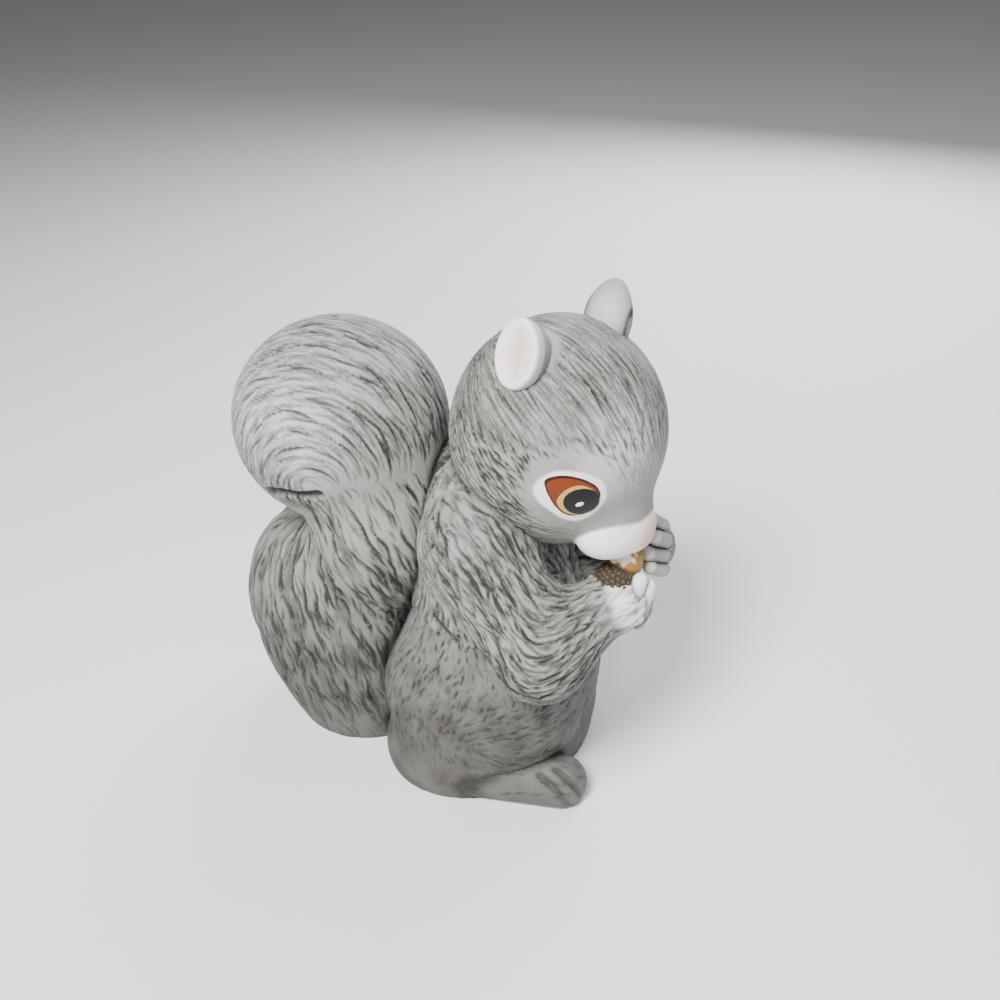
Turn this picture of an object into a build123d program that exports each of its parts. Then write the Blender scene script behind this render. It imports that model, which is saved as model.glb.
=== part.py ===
from build123d import *
from math import asin, cos, radians, sin, sqrt
import os

# A hollow slip-cast porcelain squirrel that sits up and eats an acorn. Its castings are luted together.
# Millimetres. +Z is up, the squirrel faces -Y, and its right side is at -X.
# The origin is on the surface that it stands on, under the middle of the figure's width.

# Casting
wall = 3.0
vent_radius = 8.0
vent_set_back = 6.0
neck_way_radius = 6.0
tail_way_radius = 9.5
enamel_thickness = 0.4
overrun = 60.0

# Torso: ellipses stacked from the foot rim to the neck
torso_height = 79.0
torso_half_width = 26.5
torso_half_depth = 23.2
torso_middle_y = 5.4
# Each row: height, shift of the centre to the back, half width and half depth, as shares of the sizes above
torso_shares = (
    (0.00, 0.05, 0.97, 0.95),
    (0.10, 0.05, 1.00, 0.98),
    (0.24, 0.03, 1.00, 0.97),
    (0.42, 0.00, 0.97, 0.92),
    (0.61, 0.01, 0.86, 0.80),
    (0.78, 0.03, 0.68, 0.67),
    (0.90, -0.02, 0.52, 0.52),
    (1.00, -0.08, 0.35, 0.37),
)

# Haunches: a thigh bulge and a lower heel bulge on each side
thigh_half_width = 15.5
thigh_half_depth = 22.0
thigh_half_height = 23.0
thigh_bulge = 2.8
thigh_sink = 2.8
heel_half_width = 13.8
heel_half_depth = 17.0
heel_half_height = 12.8
heel_bulge = 3.2
heel_height = 3.6
heel_set_back = 6.5

# Tail: a column of ellipses behind the back, a lobe against the back and a round curl on top
tail_column_height = 57.0
tail_column_half_width = 20.8
tail_column_half_depth = 24.4
tail_set_back = 35.0
tail_column_shares = (
    (0.00, 0.00, 0.84, 0.77),
    (0.13, 0.04, 0.91, 0.89),
    (0.32, 0.09, 0.98, 0.98),
    (0.55, 0.13, 1.00, 1.00),
    (0.74, 0.11, 0.93, 0.91),
    (0.90, 0.08, 0.76, 0.68),
    (1.00, 0.04, 0.36, 0.33),
)
tail_lobe_half_width = 21.0
tail_lobe_half_depth = 17.5
tail_lobe_half_height = 25.8
tail_lobe_rise = 1.9
tail_lobe_forward = 11.0
tail_curl_half_width = 22.4
tail_curl_half_depth = 23.2
tail_curl_half_height = 21.9
tail_curl_rise = 23.0
tail_curl_forward = 1.8

# Head, turned to its right. A place on it is to its left, forward and up, as shares of its half sizes
head_turn = 18.0
head_half_width = 22.8
head_half_depth = 22.2
head_half_height = 23.4
head_side_shift = 1.8
head_forward = 14.1
head_seat = 20.1
snout_root_radius = 15.6
snout_tip_radius = 7.0
snout_root_shares = (0.0, 0.20, -0.21)
snout_tip_shares = (0.0, 0.62, -0.54)
muzzle_half_width = 10.6
muzzle_half_depth = 7.0
muzzle_half_height = 6.6
muzzle_shares = (-0.04, 0.64, -0.70)
nose_half_width = 4.0
nose_half_depth = 3.4
nose_half_height = 4.0
nose_shares = (0.0, 0.87, -0.79)

# Ears: dished ovals that stand on the head
ear_half_width = 3.6
ear_half_depth = 6.0
ear_half_length = 8.8
ear_lean = 12.0
dish_depth = 2.0
dish_half_width = 4.4
dish_half_length = 6.2
dish_rise = 1.5
right_ear_shares = (-0.56, 0.04, 0.90)
left_ear_shares = (0.61, 0.13, 0.78)

# Eyes: an oval of white enamel, and inlaid in it the iris, a crescent and the pupil
eye_side_turn = 52.0
eye_drop = 1.4
eye_tilt = -25.0
eye_half_length = 7.3
eye_half_height = 5.3
iris_half_length = 5.4
iris_half_height = 4.0
iris_forward = 0.1
iris_down = 0.1
crescent_radius = 3.8
crescent_forward = 0.9
crescent_down = 0.8
pupil_radius = 3.4
pupil_forward = 1.6
pupil_down = 1.2

# Acorn: a nut in its cup, with the bitten end at the mouth
nut_radius = 4.4
nut_half_length = 6.4
nut_bite = 1.6
cup_radius = 5.6
cup_length = 5.4
cup_drop = 0.8
acorn_tilt = 28.0
acorn_side = 3.6
acorn_forward = 4.0
acorn_drop = 7.4

# Arms: round tapering limbs from shoulder to elbow to wrist, and a paw with four fingers
shoulder_radius = 11.0
elbow_radius = 9.7
forearm_radius = 9.2
wrist_radius = 5.6
paw_half_width = 5.0
paw_half_depth = 5.2
paw_half_length = 6.0
finger_radius = 1.9
finger_tip_radius = 1.7
finger_length = 4.0
shoulder_drop = 14.6
shoulder_sink = 8.0
shoulder_back = 1.7
right_elbow_out = 5.5
left_elbow_out = 1.0
elbow_forward = 14.7
elbow_drop = 18.9
paw_side = 5.6
right_paw_forward = 2.8
left_paw_forward = 1.0
right_paw_rise = -4.8
left_paw_rise = 1.4
right_paw_turn = -60.0
left_paw_turn = 0.0
finger_shares = (-0.90, -0.30, 0.30, 0.90)

# Hind feet: a heel ball, a broad front and three toes
foot_half_width = 6.6
foot_half_length = 13.6
foot_half_height = 7.0
foot_rise = 2.4
toe_radius = 3.5
toe_tip_radius = 3.2
toe_length = 6.0
toe_spread = 9.0
toe_sink = 0.8
foot_inset = 7.4
foot_forward = 8.6
left_foot_setback = 6.5
foot_splay = 4.0
toe_shares = (-1.0, 0.0, 1.0)


# The basic forms

def egg(half_width, half_depth, half_height):
    """An ellipsoid about the origin."""
    return scale(Sphere(1), by=(half_width, half_depth, half_height))


def stack(rows, height, half_width, half_depth, inset):
    """A smooth loft through ellipses, drawn in by the inset all round."""
    faces = []
    for height_share, shift_share, width_share, depth_share in rows:
        across = half_width * width_share - inset
        along = half_depth * depth_share - inset
        ellipse = scale(Circle(1), by=(across, along, 1))
        faces.append(Pos(0, half_depth * shift_share, height * height_share) * ellipse)
    return loft(faces)


def limb(start, end, start_radius, end_radius):
    """Two balls and the cone that is tangent to both."""
    run = Vector(*end) - Vector(*start)
    slope = asin((start_radius - end_radius) / run.length)
    low = slope / 2 - radians(45)
    high = slope / 2 + radians(45)
    foot = (start_radius * cos(slope), start_radius * sin(slope))
    top = (end_radius * cos(slope), run.length + end_radius * sin(slope))
    outline = [
        ThreePointArc((0, -start_radius), (start_radius * cos(low), start_radius * sin(low)), foot),
        Line(foot, top),
        ThreePointArc(top, (end_radius * cos(high), run.length + end_radius * sin(high)),
                      (0, run.length + end_radius)),
        Line((0, run.length + end_radius), (0, -start_radius)),
    ]
    profile = Plane.XZ * make_face(outline)
    return Plane(origin=start, z_dir=run) * revolve(profile, Axis.Z)


def half_space(height):
    """Everything above a height."""
    return Pos(0, 0, height + 2 * overrun) * Box(8 * overrun, 8 * overrun, 4 * overrun)


def solids_of(shape):
    """The solids of a shape, the largest first."""
    return sorted(shape.solids(), key=lambda solid: solid.volume, reverse=True)


# The whole forms, before they are cut by their neighbours. An inset gives the cavity inside the wall

def torso_form(inset=0.0):
    """The torso with both haunches."""
    form = Pos(0, torso_middle_y, 0) * stack(
        torso_shares, torso_height, torso_half_width, torso_half_depth, inset)
    thigh_x = torso_half_width + thigh_bulge - thigh_half_width
    thigh_z = thigh_half_height - thigh_sink
    heel_x = torso_half_width + heel_bulge - heel_half_width
    for side in (-1, 1):
        thigh = egg(thigh_half_width - inset, thigh_half_depth - inset, thigh_half_height - inset)
        heel = egg(heel_half_width - inset, heel_half_depth - inset, heel_half_height - inset)
        form += Pos(side * thigh_x, torso_middle_y, thigh_z) * thigh
        form += Pos(side * heel_x, torso_middle_y + heel_set_back, heel_height) * heel
    return form


tail_middle_y = torso_middle_y + tail_set_back


def column_form(inset=0.0):
    """The tail's column."""
    return Pos(0, tail_middle_y, 0) * stack(
        tail_column_shares, tail_column_height, tail_column_half_width, tail_column_half_depth, inset)


def curl_form(inset=0.0):
    """The tail's curl, and the lobe that runs down from it against the back."""
    lobe = egg(tail_lobe_half_width - inset, tail_lobe_half_depth - inset, tail_lobe_half_height - inset)
    curl = egg(tail_curl_half_width - inset, tail_curl_half_depth - inset, tail_curl_half_height - inset)
    lobe = Pos(0, tail_middle_y - tail_lobe_forward, tail_column_height + tail_lobe_rise) * lobe
    return lobe + Pos(0, tail_middle_y - tail_curl_forward, tail_column_height + tail_curl_rise) * curl


head_centre = (head_side_shift, torso_middle_y - head_forward, torso_height - head_seat + head_half_height)
head_place = Pos(*head_centre) * Rot(0, 0, -head_turn)


def on_head(shares):
    """A place in the head's own frame, from shares of its half sizes."""
    left, forward, up = shares
    return (head_half_width * left, -head_half_depth * forward, head_half_height * up)


def in_figure(place):
    """A place in the head's own frame, given in the figure's frame."""
    return tuple((head_place * Pos(*place)).position)


def head_form(inset=0.0):
    """The cranium with the snout."""
    form = egg(head_half_width - inset, head_half_depth - inset, head_half_height - inset)
    form += limb(on_head(snout_root_shares), on_head(snout_tip_shares),
                 snout_root_radius - inset, snout_tip_radius - inset)
    return head_place * form


def ear_form(side, shares):
    """One ear, an oval with a dish in its outer face."""
    oval = egg(ear_half_width, ear_half_depth, ear_half_length)
    dish = egg(ear_half_width, dish_half_width, dish_half_length)
    ear = oval - Pos(side * (2 * ear_half_width - dish_depth), 0, dish_rise) * dish
    return head_place * Pos(*on_head(shares)) * Rot(0, side * ear_lean, 0) * ear


def paw_form(side, turn):
    """A paw with four fingers that curl round the acorn's front."""
    paw = egg(paw_half_width, paw_half_depth, paw_half_length)
    for share in finger_shares:
        height = share * (paw_half_length - finger_radius)
        front = -paw_half_depth * sqrt(1 - share * share / 2)
        knuckle = (side * paw_half_width / 2, front + finger_radius, height)
        tip = (knuckle[0] - side * finger_length, front - finger_radius / 2, height)
        paw += limb(knuckle, tip, finger_radius, finger_tip_radius)
    return Rot(turn, 0, 0) * paw


def arm_form(side, elbow_out, centre, turn):
    """An arm from the shoulder to the elbow to the wrist, with its paw."""
    shoulder_x = torso_half_width - shoulder_sink
    shoulder_y = torso_middle_y - shoulder_back
    shoulder_z = torso_height - shoulder_drop
    shoulder = (side * shoulder_x, shoulder_y, shoulder_z)
    elbow = (side * (shoulder_x + elbow_out), shoulder_y - elbow_forward, shoulder_z - elbow_drop)
    form = limb(shoulder, elbow, shoulder_radius, elbow_radius)
    form += limb(elbow, centre, forearm_radius, wrist_radius)
    return form + Pos(*centre) * Rot(0, 0, -head_turn) * paw_form(side, turn)


def foot_form(side, setback):
    """One hind foot with three toes."""
    foot = Pos(0, 0, foot_rise) * egg(foot_half_width, foot_half_length, foot_half_height)
    for share in toe_shares:
        turn = radians(share * toe_spread)
        root = (share * (foot_half_width - toe_radius), toe_length - foot_half_length, toe_radius - toe_sink)
        tip = (root[0] + toe_length * sin(turn), root[1] - toe_length * cos(turn), toe_tip_radius - toe_sink)
        foot += limb(root, tip, toe_radius, toe_tip_radius)
    x = side * (torso_half_width - foot_inset)
    return Pos(x, torso_middle_y - foot_forward + setback, 0) * Rot(0, 0, side * foot_splay) * foot


# The castings, each cut by the ones that it is luted to

above_ground = half_space(0)
torso_whole = torso_form() & above_ground
column_whole = column_form() & above_ground
curl_whole = curl_form()
tail_whole = column_whole + curl_whole
head_whole = head_form()

torso_cavity = torso_form(wall) & half_space(wall)
torso_cavity -= half_space(torso_height - wall)
tail_cavity = (column_form(wall) + curl_form(wall)) & half_space(wall)
head_cavity = head_form(wall)

vent = Pos(0, torso_middle_y + vent_set_back, 0) * Cylinder(vent_radius, 4 * wall)
neck_y = torso_middle_y + torso_half_depth * torso_shares[-1][1]
neck_way = Pos(0, neck_y, torso_height) * Cylinder(neck_way_radius, 4 * wall)
tail_way_y = torso_middle_y + torso_half_depth
tail_way = Pos(0, tail_way_y, tail_column_height) * Rot(90, 0, 0) * Cylinder(tail_way_radius, 2 * torso_half_depth)

body_shell = torso_whole - torso_cavity - vent - neck_way - tail_way
tail_curl = curl_whole - torso_whole - tail_cavity
tail_column = column_whole - torso_whole - curl_whole - tail_cavity
head_shell = head_whole - torso_whole - tail_whole - head_cavity

muzzle_place = head_place * Pos(*on_head(muzzle_shares))
muzzle_whole = muzzle_place * egg(muzzle_half_width, muzzle_half_depth, muzzle_half_height)
nose_whole = head_place * Pos(*on_head(nose_shares)) * egg(nose_half_width, nose_half_depth, nose_half_height)
muzzle = muzzle_whole - head_whole
nose = nose_whole - head_whole - muzzle_whole

# Ears, acorn, arms and feet

ears = {}
for side, name, shares in ((-1, "right_ear", right_ear_shares), (1, "left_ear", left_ear_shares)):
    ears[name] = ear_form(side, shares) - head_whole - tail_whole

mouth_x, mouth_y, mouth_z = in_figure(on_head(muzzle_shares))
acorn_centre = (mouth_x - acorn_side, mouth_y - acorn_forward, mouth_z - acorn_drop)
acorn_place = Pos(*acorn_centre) * Rot(acorn_tilt, 0, 0)
face = head_whole + muzzle_whole + nose_whole
nut_egg = egg(nut_radius, nut_radius, nut_half_length)
nut_whole = acorn_place * (nut_egg - half_space(nut_half_length - nut_bite))
cup_egg = egg(cup_radius, cup_radius, cup_length)
cup_whole = acorn_place * Pos(0, 0, -cup_drop) * (cup_egg - half_space(0))
acorn_nut = nut_whole - face
acorn_cap = cup_whole - nut_whole - face

taken = torso_whole + tail_whole + face + nut_whole + cup_whole
arms = {}
for side, name, elbow_out, forward, rise, turn in (
    (-1, "right_arm", right_elbow_out, right_paw_forward, right_paw_rise, right_paw_turn),
    (1, "left_arm", left_elbow_out, left_paw_forward, left_paw_rise, left_paw_turn),
):
    offset = Rot(0, 0, -head_turn) * Pos(side * paw_side, -forward, rise)
    centre = tuple(Vector(*acorn_centre) + offset.position)
    arm = arm_form(side, elbow_out, centre, turn)
    arms[name] = arm - taken
    taken += arm

feet = {}
for side, name, setback in ((-1, "right_hind_foot", 0.0), (1, "left_hind_foot", left_foot_setback)):
    feet[name] = (foot_form(side, setback) & above_ground) - torso_whole

# The eyes' enamel lies on the head as one thin layer, divided by the outlines of its colours

eye_turn = radians(eye_side_turn)
eye_plane = Plane(origin=(0, 0, -eye_drop), x_dir=(cos(eye_turn), -sin(eye_turn), 0),
                  z_dir=(-sin(eye_turn), -cos(eye_turn), 0))


def outline_prism(forward, down, half_length, half_height):
    """An oval drawn on the right eye's plane and drawn out through the head's side."""
    oval = Pos(forward, -down) * Rot(0, 0, eye_tilt) * Ellipse(half_length, half_height)
    return extrude(eye_plane * oval, amount=overrun)


almond = outline_prism(0, 0, eye_half_length, eye_half_height)
iris_oval = outline_prism(iris_forward, iris_down, iris_half_length, iris_half_height)
crescent_oval = outline_prism(crescent_forward, crescent_down, crescent_radius, crescent_radius)
pupil_oval = outline_prism(pupil_forward, pupil_down, pupil_radius, pupil_radius)
outlines = {
    "eye_white": almond - iris_oval - crescent_oval - pupil_oval,
    "eye_iris": iris_oval - crescent_oval - pupil_oval,
    "eye_crescent": crescent_oval - pupil_oval,
    "eye_pupil": pupil_oval,
}
head_grown = head_form(-enamel_thickness)
eyes = {}
for name, outline in outlines.items():
    eyes["right_" + name] = (head_grown & (head_place * outline)) - head_whole
    eyes["left_" + name] = (head_grown & (head_place * mirror(outline, about=Plane.YZ))) - head_whole

nodes = {
    "body_shell": body_shell,
    "tail_column": tail_column,
    "tail_curl": tail_curl,
    "head_shell": head_shell,
    "muzzle": muzzle,
    "nose": nose,
    "acorn_nut": acorn_nut,
    "acorn_cap": acorn_cap,
}
nodes.update(ears)
nodes.update(arms)
nodes.update(feet)
nodes.update(eyes)

os.makedirs("parts", exist_ok=True)
for name, shape in nodes.items():
    export_step(solids_of(shape)[0], "parts/" + name + ".step")
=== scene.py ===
"""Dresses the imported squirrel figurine: a slip-cast bisque squirrel that sits up and eats an acorn.

The sizes of the pieces are in millimetres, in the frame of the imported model.
Each mesh is written in metres.
"""
import logging
import math
from dataclasses import dataclass, field
from enum import Enum
from typing import Callable, Protocol, Sequence

import bmesh
import bpy
import numpy as np
from mathutils import Matrix, Vector
from mathutils.kdtree import KDTree


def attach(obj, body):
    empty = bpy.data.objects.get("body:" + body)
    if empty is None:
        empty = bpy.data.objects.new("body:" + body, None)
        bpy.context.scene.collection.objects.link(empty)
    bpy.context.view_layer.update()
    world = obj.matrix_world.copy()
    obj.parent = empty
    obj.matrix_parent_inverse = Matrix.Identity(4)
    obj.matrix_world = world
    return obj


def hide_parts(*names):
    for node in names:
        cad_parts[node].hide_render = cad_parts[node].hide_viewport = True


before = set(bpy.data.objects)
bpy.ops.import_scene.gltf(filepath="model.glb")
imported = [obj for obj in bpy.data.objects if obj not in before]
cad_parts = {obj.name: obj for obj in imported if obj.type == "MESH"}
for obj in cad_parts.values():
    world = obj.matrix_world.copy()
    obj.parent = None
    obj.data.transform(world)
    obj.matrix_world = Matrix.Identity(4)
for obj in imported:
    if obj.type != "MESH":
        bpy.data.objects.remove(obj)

MM = 0.001
Array = np.ndarray
Place = tuple[float, float, float]
Flat = tuple[float, float]
Colour = tuple[float, float, float]
Field = Callable[[Array], Array]
log = logging.getLogger("squirrel")

# Small values that keep a division away from zero
TINY = 1e-9
TINIEST = 1e-12

# How far a line is searched for the skin, in millimetres, and how many times the search is halved
CAST_REACH, CAST_HALVINGS = 90.0, 20
FLARE_HALVINGS = 12
LENS_REACH, LENS_HALVINGS = 16.0, 18


# Smooth helpers

def smoothstep(low: float, high: float, values: Array) -> Array:
    """A soft step from 0 at low to 1 at high."""
    share = np.clip((values - low) / (high - low), 0.0, 1.0)
    return share * share * (3.0 - 2.0 * share)


def by_height(low: float, high: float, points: Array) -> Array:
    """A soft step from 0 at the height low to 1 at the height high."""
    return smoothstep(low, high, points[:, 2])


def turned(degrees: Place) -> Array:
    """The rotation about X, then Y, then Z.

    Args:
        degrees: The angle about each axis.

    Returns:
        The rotation as a matrix.
    """
    ax, ay, az = (math.radians(angle) for angle in degrees)
    matrix = Matrix.Rotation(az, 3, "Z") @ Matrix.Rotation(ay, 3, "Y") @ Matrix.Rotation(ax, 3, "X")
    return np.array(matrix)


def unit(vectors: Array) -> Array:
    """Each row at length one."""
    return vectors / (np.linalg.norm(vectors, axis=-1, keepdims=True) + TINIEST)


def far_from(points: Array, centre: Place, radii: Place = (1.0, 1.0, 1.0)) -> Array:
    """How far each point is from a centre, counted in the radii."""
    return np.linalg.norm((points - np.array(centre)) / np.array(radii), axis=1)


def round_x(away: Array) -> Array:
    """The direction that runs round the X axis, at each offset from it."""
    return unit(np.stack([0 * away[:, 0], away[:, 2], -away[:, 1]], axis=1))


def joined(first: Array, second: Array, fillet: Array | float) -> Array:
    """The nearer of two distances, with a fillet where they meet."""
    share = np.clip(0.5 + 0.5 * (second - first) / fillet, 0.0, 1.0)
    return second + (first - second) * share - fillet * share * (1.0 - share)


def curve(knots: Array, values: Array, slopes: Array, places: Array) -> Array:
    """The smooth curve that passes through each knot's value with its slope.

    Args:
        knots: The places of the knots, in rising order.
        values: The value at each knot, or a row of values.
        slopes: The slope at each knot, in the same layout.
        places: Where the curve is wanted.

    Returns:
        The value at each place, or a row of values.
    """
    layout = (-1, *[1] * (values.ndim - 1))
    index = np.clip(np.searchsorted(knots, places) - 1, 0, len(knots) - 2)
    step = (knots[index + 1] - knots[index]).reshape(layout)
    t = (places - knots[index]).reshape(layout) / step
    return ((1 + 2 * t) * (1 - t) ** 2 * values[index] + t * (1 - t) ** 2 * step * slopes[index]
            + t * t * (3 - 2 * t) * values[index + 1] + t * t * (t - 1) * step * slopes[index + 1])


# The forms that the castings follow, as distances from their skins

class Shape(Protocol):
    """Anything with a signed distance that is negative inside."""

    def distance(self, points: Array) -> Array:
        """Signed distance of each point, in millimetres."""


def slope_of(shape: Shape, points: Array) -> Array:
    """Finds the outward direction of a shape.

    Args:
        shape: The shape.
        points: Points near its skin, one in each row.

    Returns:
        The direction at each point, at length one.
    """
    nudge = 0.05
    rise = [shape.distance(points + nudge * axis) - shape.distance(points - nudge * axis)
            for axis in np.eye(3)]
    return unit(np.stack(rise, axis=-1))


def crossing(shape: Shape, starts: Array, directions: Array, reach: float, halvings: int,
             side: float = 1.0) -> Array:
    """Finds how far each line runs before it crosses a shape's skin.

    Args:
        shape: The shape.
        starts: The lines' starts in rows, or one start that they share.
        directions: The lines' directions in rows, or one that they share.
        reach: A distance past the skin on every line.
        halvings: How many times the span is halved.
        side: 1 for lines that start inside, and -1 for lines that start outside.

    Returns:
        The distance along each line, in millimetres.
    """
    near = np.zeros(np.broadcast(starts, directions).shape[0])
    far = np.full(len(near), reach)
    for _ in range(halvings):
        middle = (near + far) / 2
        short = side * shape.distance(starts + directions * middle[:, None]) < 0
        near = np.where(short, middle, near)
        far = np.where(short, far, middle)
    return near


@dataclass(frozen=True)
class Egg:
    """An ellipsoid."""

    centre: Place
    radii: Place
    turn: Place = (0.0, 0.0, 0.0)

    def distance(self, points: Array) -> Array:
        """Measures from the skin.

        Args:
            points: One point in each row.

        Returns:
            The signed distance of each point, in millimetres.
        """
        radii = np.array(self.radii)
        share = ((points - np.array(self.centre)) @ turned(self.turn)) / radii
        reach = np.linalg.norm(share, axis=-1)
        steep = np.linalg.norm(share / radii, axis=-1) + TINY
        return reach * (reach - 1.0) / steep


@dataclass(frozen=True)
class Limb:
    """A round cone between two balls."""

    start: Place
    end: Place
    start_radius: float
    end_radius: float

    def distance(self, points: Array) -> Array:
        """Measures from the skin.

        Args:
            points: One point in each row.

        Returns:
            The signed distance of each point, in millimetres.
        """
        start = np.array(self.start)
        run = np.array(self.end) - start
        share = np.clip((points - start) @ run / (run @ run), 0.0, 1.0)
        gap = np.linalg.norm(points - start - share[:, None] * run, axis=-1)
        return gap - (self.start_radius + (self.end_radius - self.start_radius) * share)


@dataclass(frozen=True)
class Stack:
    """Rounded sections stacked up Z. Each row: height, centre x, centre y, half width, half depth."""

    rows: tuple[tuple[float, float, float, float, float], ...]
    power: float = 2.0
    shortfall: float = 0.85

    def sections(self, heights: Array) -> Array:
        """Finds the section at given heights, from a curve that never overshoots the rows.

        Args:
            heights: The heights.

        Returns:
            Centre x, centre y, half width and half depth at each height.
        """
        table = np.array(self.rows)
        knots, values = table[:, 0], table[:, 1:]
        steps = np.diff(knots)
        slopes = np.diff(values, axis=0) / steps[:, None]
        tangents = np.zeros_like(values)
        inner = slopes[:-1] * slopes[1:] > 0
        low = 2 * steps[1:, None] + steps[:-1, None]
        high = steps[1:, None] + 2 * steps[:-1, None]
        below = np.where(inner, slopes[:-1], 1.0)
        above = np.where(inner, slopes[1:], 1.0)
        tangents[1:-1] = np.where(inner, (low + high) / (low / below + high / above), 0.0)
        tangents[0], tangents[-1] = slopes[0], slopes[-1]
        return curve(knots, values, tangents, heights)

    def distance(self, points: Array) -> Array:
        """Measures from the skin, a little short of the true distance.

        Args:
            points: One point in each row.

        Returns:
            The signed distance of each point, in millimetres.
        """
        heights = np.clip(points[:, 2], self.rows[0][0], self.rows[-1][0])
        section = self.sections(heights)
        x = np.abs(points[:, 0] - section[:, 0])
        y = np.abs(points[:, 1] - section[:, 1])
        powers = (x / section[:, 2]) ** self.power + (y / section[:, 3]) ** self.power
        share = powers ** (1 / self.power) + TINY
        gap = (np.hypot(x, y) + TINY) * (1 - 1 / share)
        above = np.maximum(points[:, 2] - self.rows[-1][0], 0.0)
        return np.where(above > 0, np.hypot(np.maximum(gap, 0.0), above), gap * self.shortfall)


@dataclass(frozen=True)
class Cup:
    """An egg cut off flat towards where it faces, with a shallow hollow scooped out of the cut.

    The radii of the egg and of the hollow are across, towards the tip and to the back.
    """

    centre: Place
    radii: Place
    hollow: Place
    facing: Place
    tip: Place
    point: float = 0.1
    rise: float = 0.3
    rim_fillet: float = 2.0
    hollow_fillet: float = 0.7

    def axes(self) -> Array:
        """Finds the cup's own axes.

        Returns:
            The directions across, towards the tip and out of the hollow, as rows.
        """
        out = unit(np.array(self.facing))
        tip = np.array(self.tip)
        tip = unit(tip - (tip @ out) * out)
        return np.stack([np.cross(tip, out), tip, out])

    def local(self, points: Array) -> Array:
        """The places of points along the three axes."""
        return (points - np.array(self.centre)) @ self.axes().T

    def distance(self, points: Array) -> Array:
        """Measures from the skin.

        Args:
            points: One point in each row.

        Returns:
            The signed distance of each point, in millimetres.
        """
        rows = self.local(points)
        narrow = 1.0 - self.point * np.clip(rows[:, 1] / self.radii[1], 0.0, 1.0) ** 2
        rows[:, 0] = rows[:, 0] / narrow
        egg = Egg((0.0, 0.0, 0.0), self.radii).distance(rows)
        scoop = Egg((0.0, 0.0, self.rise), self.hollow).distance(rows)
        whole = -joined(-egg, -rows[:, 2], self.rim_fillet)
        return -joined(-whole, scoop, self.hollow_fillet)


@dataclass(frozen=True)
class Form:
    """Shapes that run into each other with fillets, standing on the floor."""

    base: Shape
    added: tuple[tuple[Shape, float], ...] = ()
    floor: bool = True

    def distance(self, points: Array) -> Array:
        """Measures from the skin.

        Args:
            points: One point in each row.

        Returns:
            The signed distance of each point, in millimetres.
        """
        whole = self.base.distance(points)
        for shape, fillet in self.added:
            whole = joined(whole, shape.distance(points), fillet)
        return np.maximum(whole, -points[:, 2]) if self.floor else whole


@dataclass(frozen=True)
class Blend:
    """Two forms that run into each other with a fillet that can change from place to place."""

    first: Shape
    second: Shape
    fillet: Field

    def distance(self, points: Array) -> Array:
        """Signed distance of each point, in millimetres."""
        return joined(self.first.distance(points), self.second.distance(points), self.fillet(points))


# Meshes that are drawn out from a ball to a form

_balls: dict[int, bpy.types.Mesh] = {}


def ball(cuts: int) -> bpy.types.Mesh:
    """A fresh mesh of a ball with even squares all over.

    Args:
        cuts: How many times each edge of the cube that it starts from is cut.

    Returns:
        A mesh with its vertices at distance one from the origin.
    """
    if cuts not in _balls:
        bm = bmesh.new()
        bmesh.ops.create_cube(bm, size=2.0)
        bmesh.ops.subdivide_edges(bm, edges=bm.edges, cuts=cuts, use_grid_fill=True)
        bmesh.ops.recalc_face_normals(bm, faces=bm.faces)
        mesh = bpy.data.meshes.new("ball")
        bm.to_mesh(mesh)
        bm.free()
        points = vertices_of(mesh)
        set_vertices(mesh, unit(np.tan(points * math.pi / 4)))
        _balls[cuts] = mesh
    return _balls[cuts].copy()


def vertices_of(mesh: bpy.types.Mesh) -> Array:
    """Reads a mesh's vertices.

    Args:
        mesh: The mesh.

    Returns:
        One vertex in each row.
    """
    flat = np.zeros(len(mesh.vertices) * 3, np.float32)
    mesh.vertices.foreach_get("co", flat)
    return flat.reshape(-1, 3).astype(float)


def set_vertices(mesh: bpy.types.Mesh, points: Array) -> None:
    """Moves the mesh's vertices to the rows."""
    mesh.vertices.foreach_set("co", points.astype(np.float32).ravel())
    mesh.update()


def normals_of(mesh: bpy.types.Mesh) -> Array:
    """Reads a mesh's vertex normals.

    Args:
        mesh: The mesh.

    Returns:
        One normal in each row.
    """
    flat = np.zeros(len(mesh.vertices) * 3, np.float32)
    mesh.vertex_normals.foreach_get("vector", flat)
    return flat.reshape(-1, 3).astype(float)


def set_values(mesh: bpy.types.Mesh, name: str, values: Array) -> None:
    """Stores one value for each vertex under a name that the finishes read."""
    layer = mesh.attributes.get(name) or mesh.attributes.new(name, "FLOAT", "POINT")
    layer.data.foreach_set("value", np.clip(values, 0.0, 1.0).astype(np.float32))


# Carving

STARTS_TO_PICK_FROM = 4
EVENNESS = 0.8
BURIED = -0.3
LONGEST_STEP = 0.45
LENGTHS = (0.55, 1.35)
STRENGTHS = (0.65, 1.2)
SWAY = 0.7
TAPER = 0.6


@dataclass(frozen=True)
class Comb:
    """One pass of carved fur strokes."""

    count: int
    length: float
    width: float
    depth: float
    seed: int
    wave: float = 8.0
    stray: float = 6.0
    dark: float = 1.0


def even(points: Array) -> Array:
    """Full strength everywhere."""
    return np.ones(len(points))


def tree_of(points: Array) -> KDTree:
    """Builds a search tree.

    Args:
        points: The points that it finds, one in each row.

    Returns:
        The tree.
    """
    tree = KDTree(len(points))
    for index, row in enumerate(points.tolist()):
        tree.insert(row, index)
    tree.balance()
    return tree


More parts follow.
